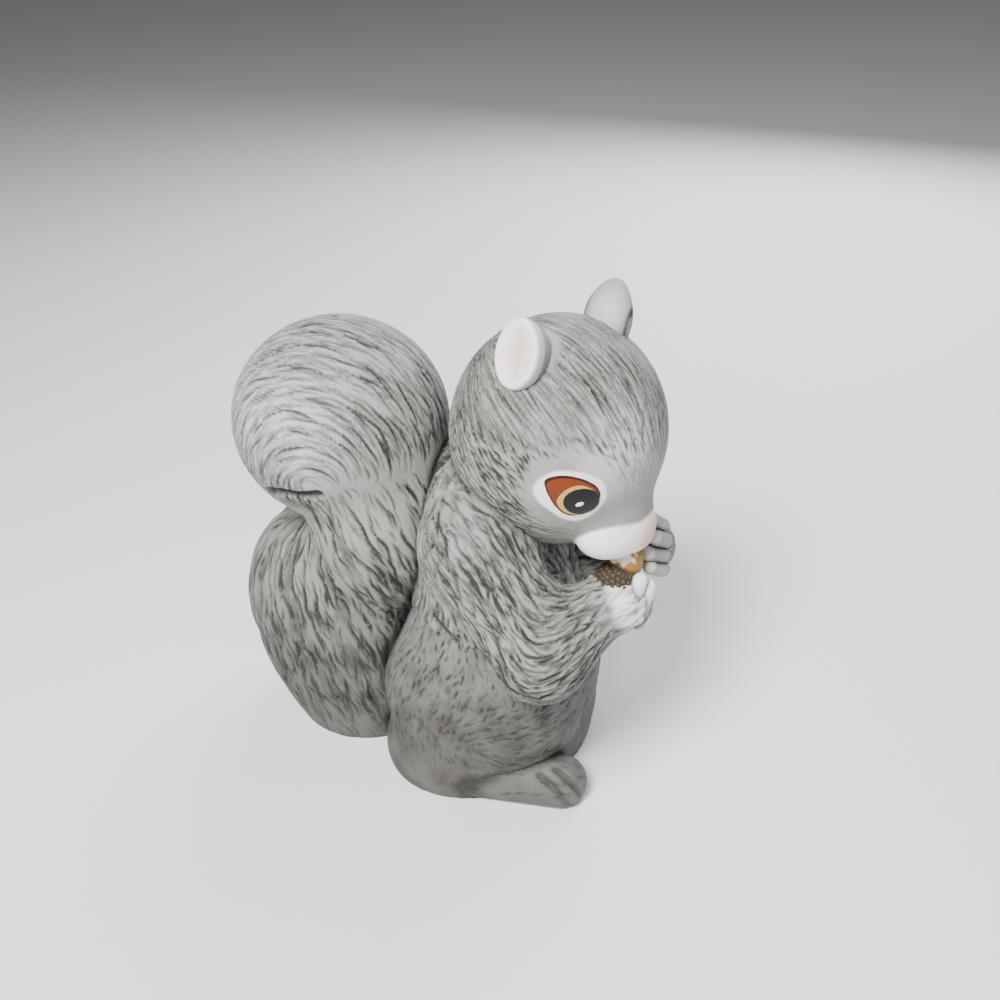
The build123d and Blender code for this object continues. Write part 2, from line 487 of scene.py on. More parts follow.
@dataclass
class Fur:
    """Strokes that follow a flow over a form's skin, as a tool would cut them in the master."""

    comb: Comb
    step: float
    place: Array
    heading: Array
    strength: Array
    tree: KDTree
    narrowest: float = 0.4

    def press(self, points: Array) -> tuple[Array, Array]:
        """Finds what the strokes do to a skin.

        Args:
            points: The skin's vertices, one in each row.

        Returns:
            The depth at each vertex in millimetres, and how dark the wash is there, from 0 to 1.
        """
        nearest = np.array([self.tree.find(row)[1] for row in points.tolist()])
        gap = points - self.place[nearest]
        line = self.heading[nearest]
        aside = np.linalg.norm(gap - (gap * line).sum(1)[:, None] * line, axis=1)
        power = self.strength[nearest]
        ends = np.linalg.norm(gap, axis=1) - self.step
        wide = self.comb.width * (self.narrowest + (1 - self.narrowest) * power) + 1e-6
        share = np.clip(np.maximum(aside, ends) / wide, 0, 1)
        profile = (1 - share * share) ** 2 * power
        return self.comb.depth * profile, self.comb.dark * profile


def spread_out(pool: Array, gap: float, count: int) -> Array:
    """Picks points that keep a gap between them, as long as there are enough.

    Args:
        pool: The points to pick from, in random order.
        gap: The smallest distance between two of them.
        count: How many are wanted.

    Returns:
        The points picked.
    """
    tree = tree_of(pool)
    blocked = np.zeros(len(pool), bool)
    taken = []
    for index, row in enumerate(pool.tolist()):
        if blocked[index]:
            continue
        taken.append(index)
        if len(taken) == count:
            break
        for _, other, _ in tree.find_range(row, gap):
            blocked[other] = True
    return pool[taken]


def grow(form: Shape, castings: Sequence["Casting"], flow: Field, comb: Comb, keep: Field = even) -> Fur:
    """Grows strokes over the skin that some castings share.

    Args:
        form: The form that the strokes lie on.
        castings: The castings whose vertices the strokes start from.
        flow: The direction of the fur at given points.
        comb: The stroke's sizes.
        keep: How strong the strokes are at given points, from 0 to 1.

    Returns:
        The strokes.
    """
    rng = np.random.default_rng(comb.seed)
    points = np.concatenate([casting.points for casting in castings])
    areas = np.concatenate([casting.weights * 4 * math.pi / len(casting.points) for casting in castings])
    chance = areas * keep(points) * (form.distance(points) > BURIED)
    pool = points[rng.choice(len(points), comb.count * STARTS_TO_PICK_FROM, p=chance / chance.sum())]
    starts = spread_out(pool, EVENNESS * math.sqrt(chance.sum() / comb.count), comb.count)
    total = len(starts)
    step = min(LONGEST_STEP, comb.width * 0.5)
    lengths = comb.length * rng.uniform(*LENGTHS, total)
    counts = np.maximum(4, (lengths / step).astype(int))
    phase = rng.uniform(0, 2 * math.pi, total)
    bend = rng.normal(0, comb.stray, total)
    sizes = rng.uniform(*STRENGTHS, total)
    places, headings, strengths = [], [], []
    here = starts
    for index in range(counts.max()):
        live = index < counts
        normal = slope_of(form, here)
        along = flow(here)
        along = unit(along - (along * normal).sum(1)[:, None] * normal)
        swing = np.radians(bend + comb.wave * np.sin(phase + index * step * SWAY))
        along = along * np.cos(swing)[:, None] + np.cross(normal, along) * np.sin(swing)[:, None]
        share = np.clip((index + 0.5) / counts, 0, 1)
        strength = np.clip(np.sin(math.pi * share), 0, 1) ** TAPER * sizes * keep(here)
        places.append(here[live])
        headings.append(along[live])
        strengths.append(strength[live])
        here = here + step * along
        here = here - form.distance(here)[:, None] * normal
    place = np.concatenate(places)
    return Fur(comb, step, place, np.concatenate(headings), np.concatenate(strengths), tree_of(place))


def groove(points: Array, path: Sequence[Place], width: float, depth: float) -> tuple[Array, Array]:
    """One cut along given points, deepest at its middle.

    Args:
        points: The skin's vertices, in millimetres.
        path: The points that the cut runs through.
        width: Its half width.
        depth: Its depth.

    Returns:
        The depth at each vertex in millimetres, and how dark the wash is there, from 0 to 1.
    """
    best = np.full(len(points), 1e9)
    for start, end in zip(path[:-1], path[1:]):
        best = np.minimum(best, Limb(start, end, 0.0, 0.0).distance(points))
    profile = (1 - np.clip(best / width, 0, 1) ** 2) ** 2
    return depth * profile, profile


def crease(points: Array, others: Sequence[Shape], spread: float) -> Array:
    """Finds the painted shade, with some dark wash, beside the neighbouring pieces.

    Args:
        points: The skin's vertices, in millimetres.
        others: The neighbours' forms.
        spread: How far from them the darkening reaches.

    Returns:
        How dark the painted shade and wash are at each vertex, from 0 to 1.
    """
    dark = np.zeros(len(points))
    for other in others:
        dark = np.maximum(dark, np.exp(-(np.maximum(other.distance(points), 0) / spread) ** 1.5))
    return dark


# Finishes

class Slot(Enum):
    """The record's material slots; each finish holds one."""

    GREY = "bisque_grey"
    WHITE = "bisque_white"
    AMBER = "nut_amber"
    BROWN = "cap_brown"
    ENAMEL_WHITE = "enamel_white"
    ENAMEL_ORANGE = "enamel_orange"
    ENAMEL_YELLOW = "enamel_yellow"
    ENAMEL_BLACK = "enamel_black"


class Tree:
    """A short way to lay out shader nodes."""

    def __init__(self, tree: bpy.types.NodeTree) -> None:
        """Keeps the tree that nodes are added to."""
        self.tree = tree

    def feed(self, node: bpy.types.Node, inputs: dict[str | int, object]) -> None:
        """Gives a node its inputs.

        Args:
            node: The node.
            inputs: The value or the link for each input, by its name or number.
        """
        for name, value in inputs.items():
            if isinstance(value, bpy.types.NodeSocket):
                self.tree.links.new(value, node.inputs[name])
            else:
                node.inputs[name].default_value = value

    def add(self, kind: str, settings: dict[str, object] | None = None,
            inputs: dict[str | int, object] | None = None) -> bpy.types.Node:
        """Adds a node.

        Args:
            kind: The node's type.
            settings: Its settings, by their names.
            inputs: The value or the link for each input, by its name or number.

        Returns:
            The node.
        """
        node = self.tree.nodes.new(kind)
        for name, value in (settings or {}).items():
            setattr(node, name, value)
        self.feed(node, inputs or {})
        return node

    def mix(self, share: object, low: object, high: object) -> bpy.types.NodeSocket:
        """Two colours mixed, by the share of the second one."""
        rows = {0: share, 6: self.colour(low), 7: self.colour(high)}
        return self.add("ShaderNodeMix", {"data_type": "RGBA", "blend_type": "MIX"}, rows).outputs[2]

    def maths(self, operation: str, *values: object, clamp: bool = False) -> bpy.types.NodeSocket:
        """One value worked out from others, kept from 0 to 1 where clamp says so."""
        settings = {"operation": operation, "use_clamp": clamp}
        return self.add("ShaderNodeMath", settings, dict(enumerate(values))).outputs[0]

    def value_of(self, name: str) -> bpy.types.NodeSocket:
        """The value that the mesh holds under a name."""
        return self.add("ShaderNodeAttribute", {"attribute_name": name}).outputs["Fac"]

    def place(self) -> bpy.types.NodeSocket:
        """The place on the figurine."""
        return self.add("ShaderNodeTexCoord").outputs["Object"]

    def noise(self, place: bpy.types.NodeSocket, scale: object, detail: float,
              rough: float = 0.5) -> bpy.types.NodeSocket:
        """Noise from 0 to 1 at a place, finer with more scale."""
        inputs = {"Vector": place, "Scale": scale, "Detail": detail, "Roughness": rough}
        return self.add("ShaderNodeTexNoise", None, inputs).outputs["Fac"]

    @staticmethod
    def colour(value: object) -> object:
        """A colour with its alpha, or the link as it is."""
        return (*value, 1.0) if isinstance(value, tuple) else value


def blank_material(name: str) -> tuple[bpy.types.Material, Tree, bpy.types.Node]:
    """Starts a material.

    Args:
        name: The material's name.

    Returns:
        The material, its nodes and its shader.
    """
    material = bpy.data.materials.new(name)
    material.use_nodes = True
    return material, Tree(material.node_tree), material.node_tree.nodes["Principled BSDF"]


def fired_grain() -> bpy.types.NodeTree:
    """The speckle and the fine tooth of unglazed fired slip, used by every bisque finish.

    Returns:
        The node group, built once.
    """
    if "fired_grain" in bpy.data.node_groups:
        return bpy.data.node_groups["fired_grain"]
    cloud_size = 160.0
    group = bpy.data.node_groups.new("fired_grain", "ShaderNodeTree")
    group.interface.new_socket("Speckle Size", in_out="INPUT", socket_type="NodeSocketFloat")
    for name in ("Speckle", "Cloud", "Tooth"):
        group.interface.new_socket(name, in_out="OUTPUT", socket_type="NodeSocketFloat")
    tree = Tree(group)
    place = tree.place()
    size = tree.add("NodeGroupInput").outputs[0]
    speckle = tree.noise(place, size, 3.0, 0.7)
    cloud = tree.noise(place, cloud_size, 3.0)
    tooth = tree.noise(place, size, 2.0)
    tree.add("NodeGroupOutput", None, {0: speckle, 1: cloud, 2: tooth})
    return group


@dataclass(frozen=True)
class Bisque:
    """Matte fired slip, with a dark wash left in the carving, painted shade in creases, hollows and low
    down, and sprayed white and pink areas with painted highlights in the white.
    """

    name: str
    slot: Slot
    light: Colour = (0.31, 0.305, 0.29)
    # The colour that painted shade darkens the ground towards, where the mesh says shade
    low: Colour = (0.085, 0.081, 0.077)
    dark: Colour = (0.030, 0.028, 0.026)
    white: Colour = (0.90, 0.895, 0.88)
    pink: Colour = (0.78, 0.44, 0.40)
    wash: float = 1.15
    roughness: float = 0.62
    specular: float = 0.35
    grain_size: float = 1500.0
    patch_middle: float = 0.44
    patch_least: float = 0.7
    patch_more: float = 1.1
    freckle_strength: float = 0.75
    tooth_strength: float = 0.25
    tooth_depth: float = 0.0001

    def build(self) -> bpy.types.Material:
        """Lays out the material.

        Returns:
            The material, which reads groove, shade, white and pink from the mesh.
        """
        material, tree, shader = blank_material(self.name)
        grain = tree.add("ShaderNodeGroup", {"node_tree": fired_grain()}, {0: self.grain_size})
        speckle, cloud, tooth = grain.outputs
        # The groove value holds the dark wash of the carving and the painted shade in creases and hollows
        wash_and_shade = tree.maths("MULTIPLY", tree.value_of("groove"), self.wash, clamp=True)
        uneven = tree.maths("MULTIPLY_ADD", tree.value_of("shade"), self.patch_more, self.patch_least)
        patch = tree.maths("MULTIPLY", tree.maths("SUBTRACT", cloud, self.patch_middle), uneven)
        wash_and_shade = tree.maths("ADD", wash_and_shade, patch, clamp=True)
        freckle = tree.maths("MULTIPLY", tree.maths("SUBTRACT", speckle, 0.5), self.freckle_strength)
        wash_and_shade = tree.maths("ADD", wash_and_shade, freckle, clamp=True)
        # Painted shade: the ground darkens from light towards low where the mesh says shade, lower on the
        # figure
        ground = tree.mix(tree.value_of("shade"), self.light, self.low)
        colour = tree.mix(wash_and_shade, ground, self.dark)
        # The white value holds the sprayed white areas and the painted highlights on the curl and the brow
        colour = tree.mix(tree.value_of("white"), colour, self.white)
        colour = tree.mix(tree.value_of("pink"), colour, self.pink)
        bump = tree.add("ShaderNodeBump", None, {
            "Height": tooth, "Strength": self.tooth_strength, "Distance": self.tooth_depth})
        tree.feed(shader, {"Base Color": colour, "Roughness": self.roughness,
                           "Specular IOR Level": self.specular, "Normal": bump.outputs["Normal"]})
        return material


@dataclass(frozen=True)
class Enamel:
    """Fired gloss enamel, with a brushed outline where the mesh says rim."""

    name: str
    slot: Slot
    colour: Colour
    rim: Colour
    streak: Colour
    roughness: float = 0.12
    specular: float = 0.22
    coat: float = 0.06
    coat_roughness: float = 0.05
    streak_size: float = 700.0
    streak_strength: float = 0.6

    def build(self) -> bpy.types.Material:
        """Lays out the material.

        Returns:
            The material, which reads rim from the mesh.
        """
        material, tree, shader = blank_material(self.name)
        brush = tree.noise(tree.place(), self.streak_size, 2.0)
        colour = tree.mix(tree.maths("MULTIPLY", brush, self.streak_strength), self.colour, self.streak)
        colour = tree.mix(tree.value_of("rim"), colour, self.rim)
        tree.feed(shader, {"Base Color": colour, "Roughness": self.roughness,
                           "Specular IOR Level": self.specular, "Coat Weight": self.coat,
                           "Coat Roughness": self.coat_roughness})
        return material


GREY_FINISH = Bisque("bisque_grey_washed", Slot.GREY)
WHITE_FINISH = Bisque("bisque_white_sprayed", Slot.WHITE, light=(0.86, 0.855, 0.84), low=(0.5, 0.49, 0.48),
                      dark=(0.42, 0.40, 0.38), wash=0.35)
NUT_FINISH = Bisque("nut_stain", Slot.AMBER, light=(0.36, 0.185, 0.04), dark=(0.08, 0.03, 0.008),
                    wash=0.8, roughness=0.5)
CAP_FINISH = Bisque("cap_stain", Slot.BROWN, light=(0.06, 0.042, 0.026), dark=(0.025, 0.014, 0.009),
                    wash=0.9, roughness=0.6)
IRIS_FINISH = Enamel("enamel_iris", Slot.ENAMEL_ORANGE, colour=(0.21, 0.032, 0.003),
                     rim=(0.03, 0.010, 0.005), streak=(0.10, 0.016, 0.003))
CRESCENT_FINISH = Enamel("enamel_crescent", Slot.ENAMEL_YELLOW, colour=(0.60, 0.36, 0.10),
                         rim=(0.08, 0.028, 0.010), streak=(0.44, 0.22, 0.055))
PUPIL_FINISH = Enamel("enamel_pupil", Slot.ENAMEL_BLACK, colour=(0.004, 0.004, 0.005),
                      rim=(0.004, 0.004, 0.005), streak=(0.006, 0.006, 0.007), roughness=0.06)
GLINT_FINISH = Enamel("enamel_glint", Slot.ENAMEL_WHITE, colour=(0.92, 0.92, 0.92),
                      rim=(0.92, 0.92, 0.92), streak=(0.90, 0.90, 0.90))


def place_piece(mesh: bpy.types.Mesh, name: str, finish: Bisque | Enamel, nodes: Sequence[str] = ()) -> None:
    """Puts a finished mesh on the figurine.

    Args:
        mesh: The mesh, with its place in it, in metres.
        name: The piece's name.
        finish: Its finish.
        nodes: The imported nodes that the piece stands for.
    """
    mesh.name = name
    mesh.shade_smooth()
    for attribute in ("groove", "shade", "white", "pink"):
        if isinstance(finish, Bisque) and attribute not in mesh.attributes:
            set_values(mesh, attribute, np.zeros(len(mesh.vertices)))
    mesh.materials.clear()
    mesh.materials.append(bpy.data.materials.get(finish.name) or finish.build())
    piece = bpy.data.objects.new(name, mesh)
    bpy.context.scene.collection.objects.link(piece)
    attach(piece, "root")
    if nodes:
        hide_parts(*nodes)
    log.info("%s: %d faces", name, len(mesh.polygons))


@dataclass
class Casting:
    """A mesh drawn out to a form, and then carved and coloured vertex by vertex."""

    form: Form
    centre: Place
    cuts: int
    mesh: bpy.types.Mesh = field(init=False)
    points: Array = field(init=False)
    normals: Array = field(init=False)
    weights: Array = field(init=False)
    sink: Array = field(init=False)
    dark: Array = field(init=False)

    def __post_init__(self) -> None:
        """Draws the mesh out to the form."""
        self.mesh = ball(self.cuts)
        directions = vertices_of(self.mesh)
        start = np.array(self.centre)
        reach = crossing(self.form, start, directions, CAST_REACH, CAST_HALVINGS)
        self.points = start + directions * reach[:, None]
        set_vertices(self.mesh, self.points)
        self.normals = normals_of(self.mesh)
        away = far_from(self.points, self.centre)
        facing = np.abs((self.normals * directions).sum(1))
        self.weights = away ** 2 / np.maximum(facing, 0.15)
        self.sink = np.zeros(len(self.points))
        self.dark = np.zeros(len(self.points))

    def flare(self, whole: Shape, neighbour: Shape, reach: float = 3.0) -> None:
        """Draws the skin out to a fillet that this casting shares with a neighbour.

        Args:
            whole: Both forms with their fillet.
            neighbour: The neighbour's own form.
            reach: How far the skin can move, in millimetres.
        """
        depth = whole.distance(self.points)
        normal = slope_of(self.form, self.points)
        rise = crossing(whole, self.points, normal, reach, FLARE_HALVINGS)
        fade = smoothstep(-0.8 * reach, -0.35 * reach, depth)
        self.points = self.points + normal * (rise * fade)[:, None]
        own = self.form.distance(self.points)
        other = neighbour.distance(self.points)
        self.sink += 0.25 * smoothstep(0.0, 1.5, own - other)
        set_vertices(self.mesh, self.points)
        self.normals = normals_of(self.mesh)

    def press(self, fur: Fur) -> None:
        """Adds one pass of fur strokes that were grown before.

        Args:
            fur: The strokes.
        """
        depth, dark = fur.press(self.points)
        self.sink += depth
        self.add_wash_and_shade(dark)

    def comb(self, flow: Field, comb: Comb, keep: Field = even) -> None:
        """Grows one pass of fur strokes on this casting alone, and adds it."""
        self.press(grow(self.form, [self], flow, comb, keep))

    def add_wash_and_shade(self, dark: Array) -> None:
        """Adds darkness where it is darker than what is there: dark wash in the carving, and painted shade
        in creases and hollows.
        """
        self.dark = np.maximum(self.dark, dark)

    def cut(self, path: Sequence[Place], width: float, depth: float, dark: float = 1.0) -> None:
        """Adds one cut along given points.

        Args:
            path: The points that the cut runs through.
            width: Its half width.
            depth: Its depth.
            dark: How dark the wash in it is, from 0 to 1.
        """
        low, wash = groove(self.points, path, width, depth)
        self.sink = np.maximum(self.sink, low)
        self.add_wash_and_shade(wash * dark)

    def add_shade_and_wash_beside(self, others: Sequence[Shape], spread: float = 1.1, strength: float = 0.85) -> None:
        """Paints shade, with some dark wash, beside the neighbouring pieces."""
        self.add_wash_and_shade(strength * crease(self.points, others, spread))

    def tint(self, name: str, values: Array | float) -> None:
        """Stores shade, white or pink for each vertex."""
        set_values(self.mesh, name, values + np.zeros(len(self.points)))

    def place(self, name: str, finish: Bisque, *nodes: str) -> None:
        """Moves the vertices for the carving, and puts the mesh on the figurine in metres.

        Args:
            name: The piece's name.
            finish: Its finish.
            nodes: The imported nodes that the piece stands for.
        """
        floor = by_height(0.3, 3.0, self.points) if self.form.floor else 1.0
        carved = self.points - self.normals * (self.sink * floor)[:, None]
        set_vertices(self.mesh, carved * MM)
        # The groove value carries the carving's dark wash and the painted shade
        self.tint("groove", self.dark)
        place_piece(self.mesh, name, finish, nodes)


# The figure's own forms

RIGHT_SHOULDER = (-18.4, 3.7, 64.4)
RIGHT_ELBOW = (-23.9, -11.0, 45.5)
LEFT_SHOULDER = (18.4, 3.7, 64.4)
LEFT_ELBOW = (19.3, -9.2, 46.9)
LEFT_PAW = (0.6, -30.6, 57.4)

BODY_FORM = Form(
    Stack(((0.0, 0.0, 6.4, 25.8, 23.0), (7.4, 0.0, 6.4, 26.7, 23.9), (18.4, 0.0, 5.5, 26.7, 23.9),
           (33.1, 0.0, 5.1, 24.8, 21.6), (47.8, 0.0, 5.5, 22.1, 18.4), (60.7, 0.0, 6.4, 18.4, 15.6),
           (73.6, 0.0, 4.6, 13.8, 12.9), (82.8, 0.0, 3.7, 5.5, 5.5)), 2.1),
    ((Egg((-13.8, 6.4, 20.2), (15.6, 22.1, 23.0)), 3.7), (Egg((13.8, 6.4, 20.2), (15.6, 22.1, 23.0)), 3.7),
     (Egg((-15.6, 12.0, 3.7), (14.0, 17.0, 12.9)), 3.7), (Egg((15.6, 12.0, 3.7), (14.0, 17.0, 12.9)), 3.7)))

LOBE = Egg((0.0, 29.4, 58.9), (21.2, 17.5, 25.8))
CURL_FORM = Form(Egg((0.0, 38.6, 80.0), (22.4, 23.2, 21.9)), ((LOBE, 3.7),))
COLUMN_FORM = Form(
    Stack(((0.0, 0.0, 40.5, 17.8, 19.0), (7.4, 0.0, 41.4, 19.2, 21.6), (18.4, 0.0, 42.8, 20.2, 23.9),
           (31.3, 0.0, 43.7, 20.7, 24.2), (42.3, 0.0, 43.2, 19.3, 22.1), (51.5, 0.0, 42.3, 15.6, 16.6),
           (57.0, 0.0, 41.4, 7.4, 8.3))))
TAIL_FORM = Form(CURL_FORM.base, ((COLUMN_FORM.base, 1.8), (LOBE, 4.2)))

HEAD_FORM = Form(
    Egg((1.84, -8.7, 82.3), (23.0, 22.1, 23.4)),
    ((Limb((0.0, -12.9, 77.3), (-5.8, -21.6, 70.6), 15.6, 6.2), 5.5),
     (Egg((-7.4, -22.4, 68.2), (9.6, 6.0, 5.0), (0.0, 0.0, -25.0)), 3.0)), floor=False)
MUZZLE = Egg((-8.0, -22.8, 67.2), (10.2, 6.7, 5.5), (0.0, 6.0, -25.0))
NOSE = Egg((-6.6, -26.4, 66.4), (4.2, 3.6, 4.4))
MUZZLE_FORM = Form(MUZZLE, ((NOSE, 1.8),), floor=False)

RIGHT_ARM_FORM = Form(
    Limb(RIGHT_SHOULDER, RIGHT_ELBOW, 11.0, 9.7),
    ((Limb(RIGHT_ELBOW, (-13.8, -23.9, 53.4), 9.7, 6.0), 4.6),
     (Egg((-13.7, -26.9, 52.4), (4.5, 4.3, 4.3)), 4.0)), floor=False)
LEFT_ARM_FORM = Form(
    Limb(LEFT_SHOULDER, LEFT_ELBOW, 10.1, 8.3),
    ((Limb(LEFT_ELBOW, (5.5, -26.7, 54.3), 8.3, 5.5), 4.6),
     (Egg((9.8, -16.4, 46.4), (5.6, 5.6, 5.4)), 3.0),
     (Egg(LEFT_PAW, (3.4, 3.6, 5.6)), 3.6)), floor=False)

RIGHT_FOOT_FORM = Form(Limb((-22.5, 5.5, 4.6), (-21.0, -14.6, 4.1), 6.6, 6.0))
LEFT_FOOT_FORM = Form(Limb((20.2, 9.2, 4.6), (18.4, -8.0, 4.1), 6.0, 5.5))

NUT = Egg((-9.3, -24.9, 59.4), (3.8, 3.8, 4.7), (26.0, 18.0, 0.0))
CAP = Egg((-12.4, -24.2, 57.2), (4.6, 4.6, 3.6), (26.0, 18.0, 0.0))

RIGHT_EAR = Cup((-11.4, -3.5, 104.9), (5.5, 6.8, 9.4), (4.9, 6.2, 1.5), (-0.74, 0.49, 0.46),
                (0.41, 0.10, 0.91))
LEFT_EAR = Cup((12.9, -16.6, 102.2), (6.3, 8.8, 3.2), (5.4, 7.6, 1.6), (0.84, -0.42, -0.30),
               (0.10, -0.12, 0.98), 0.24)
RIGHT_EAR_ROOT = Egg((-6.4, -6.6, 101.6), (4.2, 4.2, 4.6))


def shoulder_fillet(points: Array) -> Array:
    """A wide fillet at the shoulder, and a crease under the arm."""
    return 0.8 + 8.0 * smoothstep(50.0, 62.0, points[:, 2] + 0.5 * points[:, 1])


def ear_fillet(points: Array) -> Array:
    """The fillet that an ear runs into the head with."""
    return np.full(len(points), 2.6)


RIGHT_SIDE = Blend(BODY_FORM, RIGHT_ARM_FORM, shoulder_fillet)
TRUNK_FORM = Blend(RIGHT_SIDE, LEFT_ARM_FORM, shoulder_fillet)
HEAD_WITH_ROOT = Blend(HEAD_FORM, RIGHT_EAR_ROOT, ear_fillet)


@dataclass
class Tail:
    """The tail: a column up the back, and the curl that folds over it and runs down in a lobe."""

    swirl: Place = (0.0, 36.0, 76.0)
    pinch: Place = (0.0, 38.0, 74.0)
    pinch_reach: Place = (40.0, 11.0, 11.0)
    curl_highlight_middle: Place = (0.0, 44.0, 86.0)
    curl_highlight_reach: Place = (40.0, 20.0, 15.0)
    notch: tuple[Place, ...] = (
        (-17.0, 49.0, 70.0), (-19.5, 46.6, 72.1), (-21.0, 42.7, 73.2),
        (-21.3, 39.1, 73.3), (-21.3, 35.1, 74.2))
    column_cuts: int = 118
    curl_cuts: int = 125

    def flow(self, points: Array) -> Array:
        """Fur that runs round the swirl over the curl, and fans down from the pinch below it.

        Args:
            points: Where the direction is wanted.

        Returns:
            The direction at each point.
        """
        away = points - np.array(self.swirl)
        fall = points - np.array(self.pinch)
        drop = np.maximum(-fall[:, 2], 0.0)
        down = unit(np.stack([fall[:, 0] * 0.3, fall[:, 1] * 0.4 - 0.3 * drop, fall[:, 2] - 5.0], axis=1))
        share = by_height(6.0, -3.0, away)[:, None]
        return round_x(away) * (1 - share) + down * share

    def column_keep(self, points: Array) -> Array:
        """Full strokes on the column, fading out towards its foot and over the curl."""
        return (0.55 + 0.45 * by_height(4.0, 16.0, points)) * by_height(78.0, 72.0, points)

    def lock_keep(self, points: Array) -> Array:
        """Broad locks on the column alone."""
        return self.column_keep(points) * by_height(72.0, 60.0, points)

    def pinch_keep(self, points: Array) -> Array:
        """Deep cuts that fan out below the pinch."""
        away = far_from(points, self.pinch, self.pinch_reach)
        return smoothstep(1.2, 0.4, away) * by_height(76.0, 73.0, points)

    def curl_keep(self, points: Array) -> Array:
        """Long lines over the curl."""
        return by_height(68.0, 76.0, points)

    def curl_highlight(self, points: Array) -> Array:
        """A painted highlight on the round of the curl, palest at its middle."""
        return 0.42 * smoothstep(1.25, 0.3, far_from(points, self.curl_highlight_middle, self.curl_highlight_reach))

    def build(self) -> None:
        """Builds and dresses the two meshes of the tail."""
        column = Casting(COLUMN_FORM, (0.0, 43.0, 26.0), self.column_cuts)
        curl = Casting(CURL_FORM, (0.0, 34.0, 68.0), self.curl_cuts)
        column.flare(TAIL_FORM, CURL_FORM)
        curl.flare(TAIL_FORM, COLUMN_FORM)
        both = [column, curl]
        rows = (
            (Comb(150, 20.0, 2.2, 0.9, 11, wave=12.0, dark=0.5), self.lock_keep),
            (Comb(950, 11.0, 0.72, 0.5, 12, wave=12.0), self.column_keep),
            (Comb(1500, 6.0, 0.5, 0.18, 13, wave=12.0, dark=0.7), self.column_keep),
            (Comb(70, 11.0, 1.1, 0.9, 14, wave=8.0), self.pinch_keep),
            (Comb(520, 13.0, 0.6, 0.32, 21, wave=6.0, dark=0.9), self.curl_keep),
            (Comb(1600, 6.0, 0.48, 0.16, 22, wave=9.0, dark=0.6), self.curl_keep),
        )
        furs = [grow(TAIL_FORM, both, self.flow, comb, keep) for comb, keep in rows]
        for casting in both:
            for fur in furs:
                casting.press(fur)
            casting.cut(self.notch, 1.9, 1.7, 0.9)
            # Painted shade where the tail meets the head and the body
            casting.add_shade_and_wash_beside([HEAD_FORM, BODY_FORM], 1.3)
            casting.tint("shade", 0.85 * by_height(72.0, 10.0, casting.points))
            # Painted highlight on the curl, kept out of the carving and the painted shade
            casting.tint("white", self.curl_highlight(casting.points) * (1 - casting.dark))
        column.place("tail_column_skin", GREY_FINISH, "tail_column")
        curl.place("tail_curl_skin", GREY_FINISH, "tail_curl")


FingerRow = tuple[Place, Place, float, float]


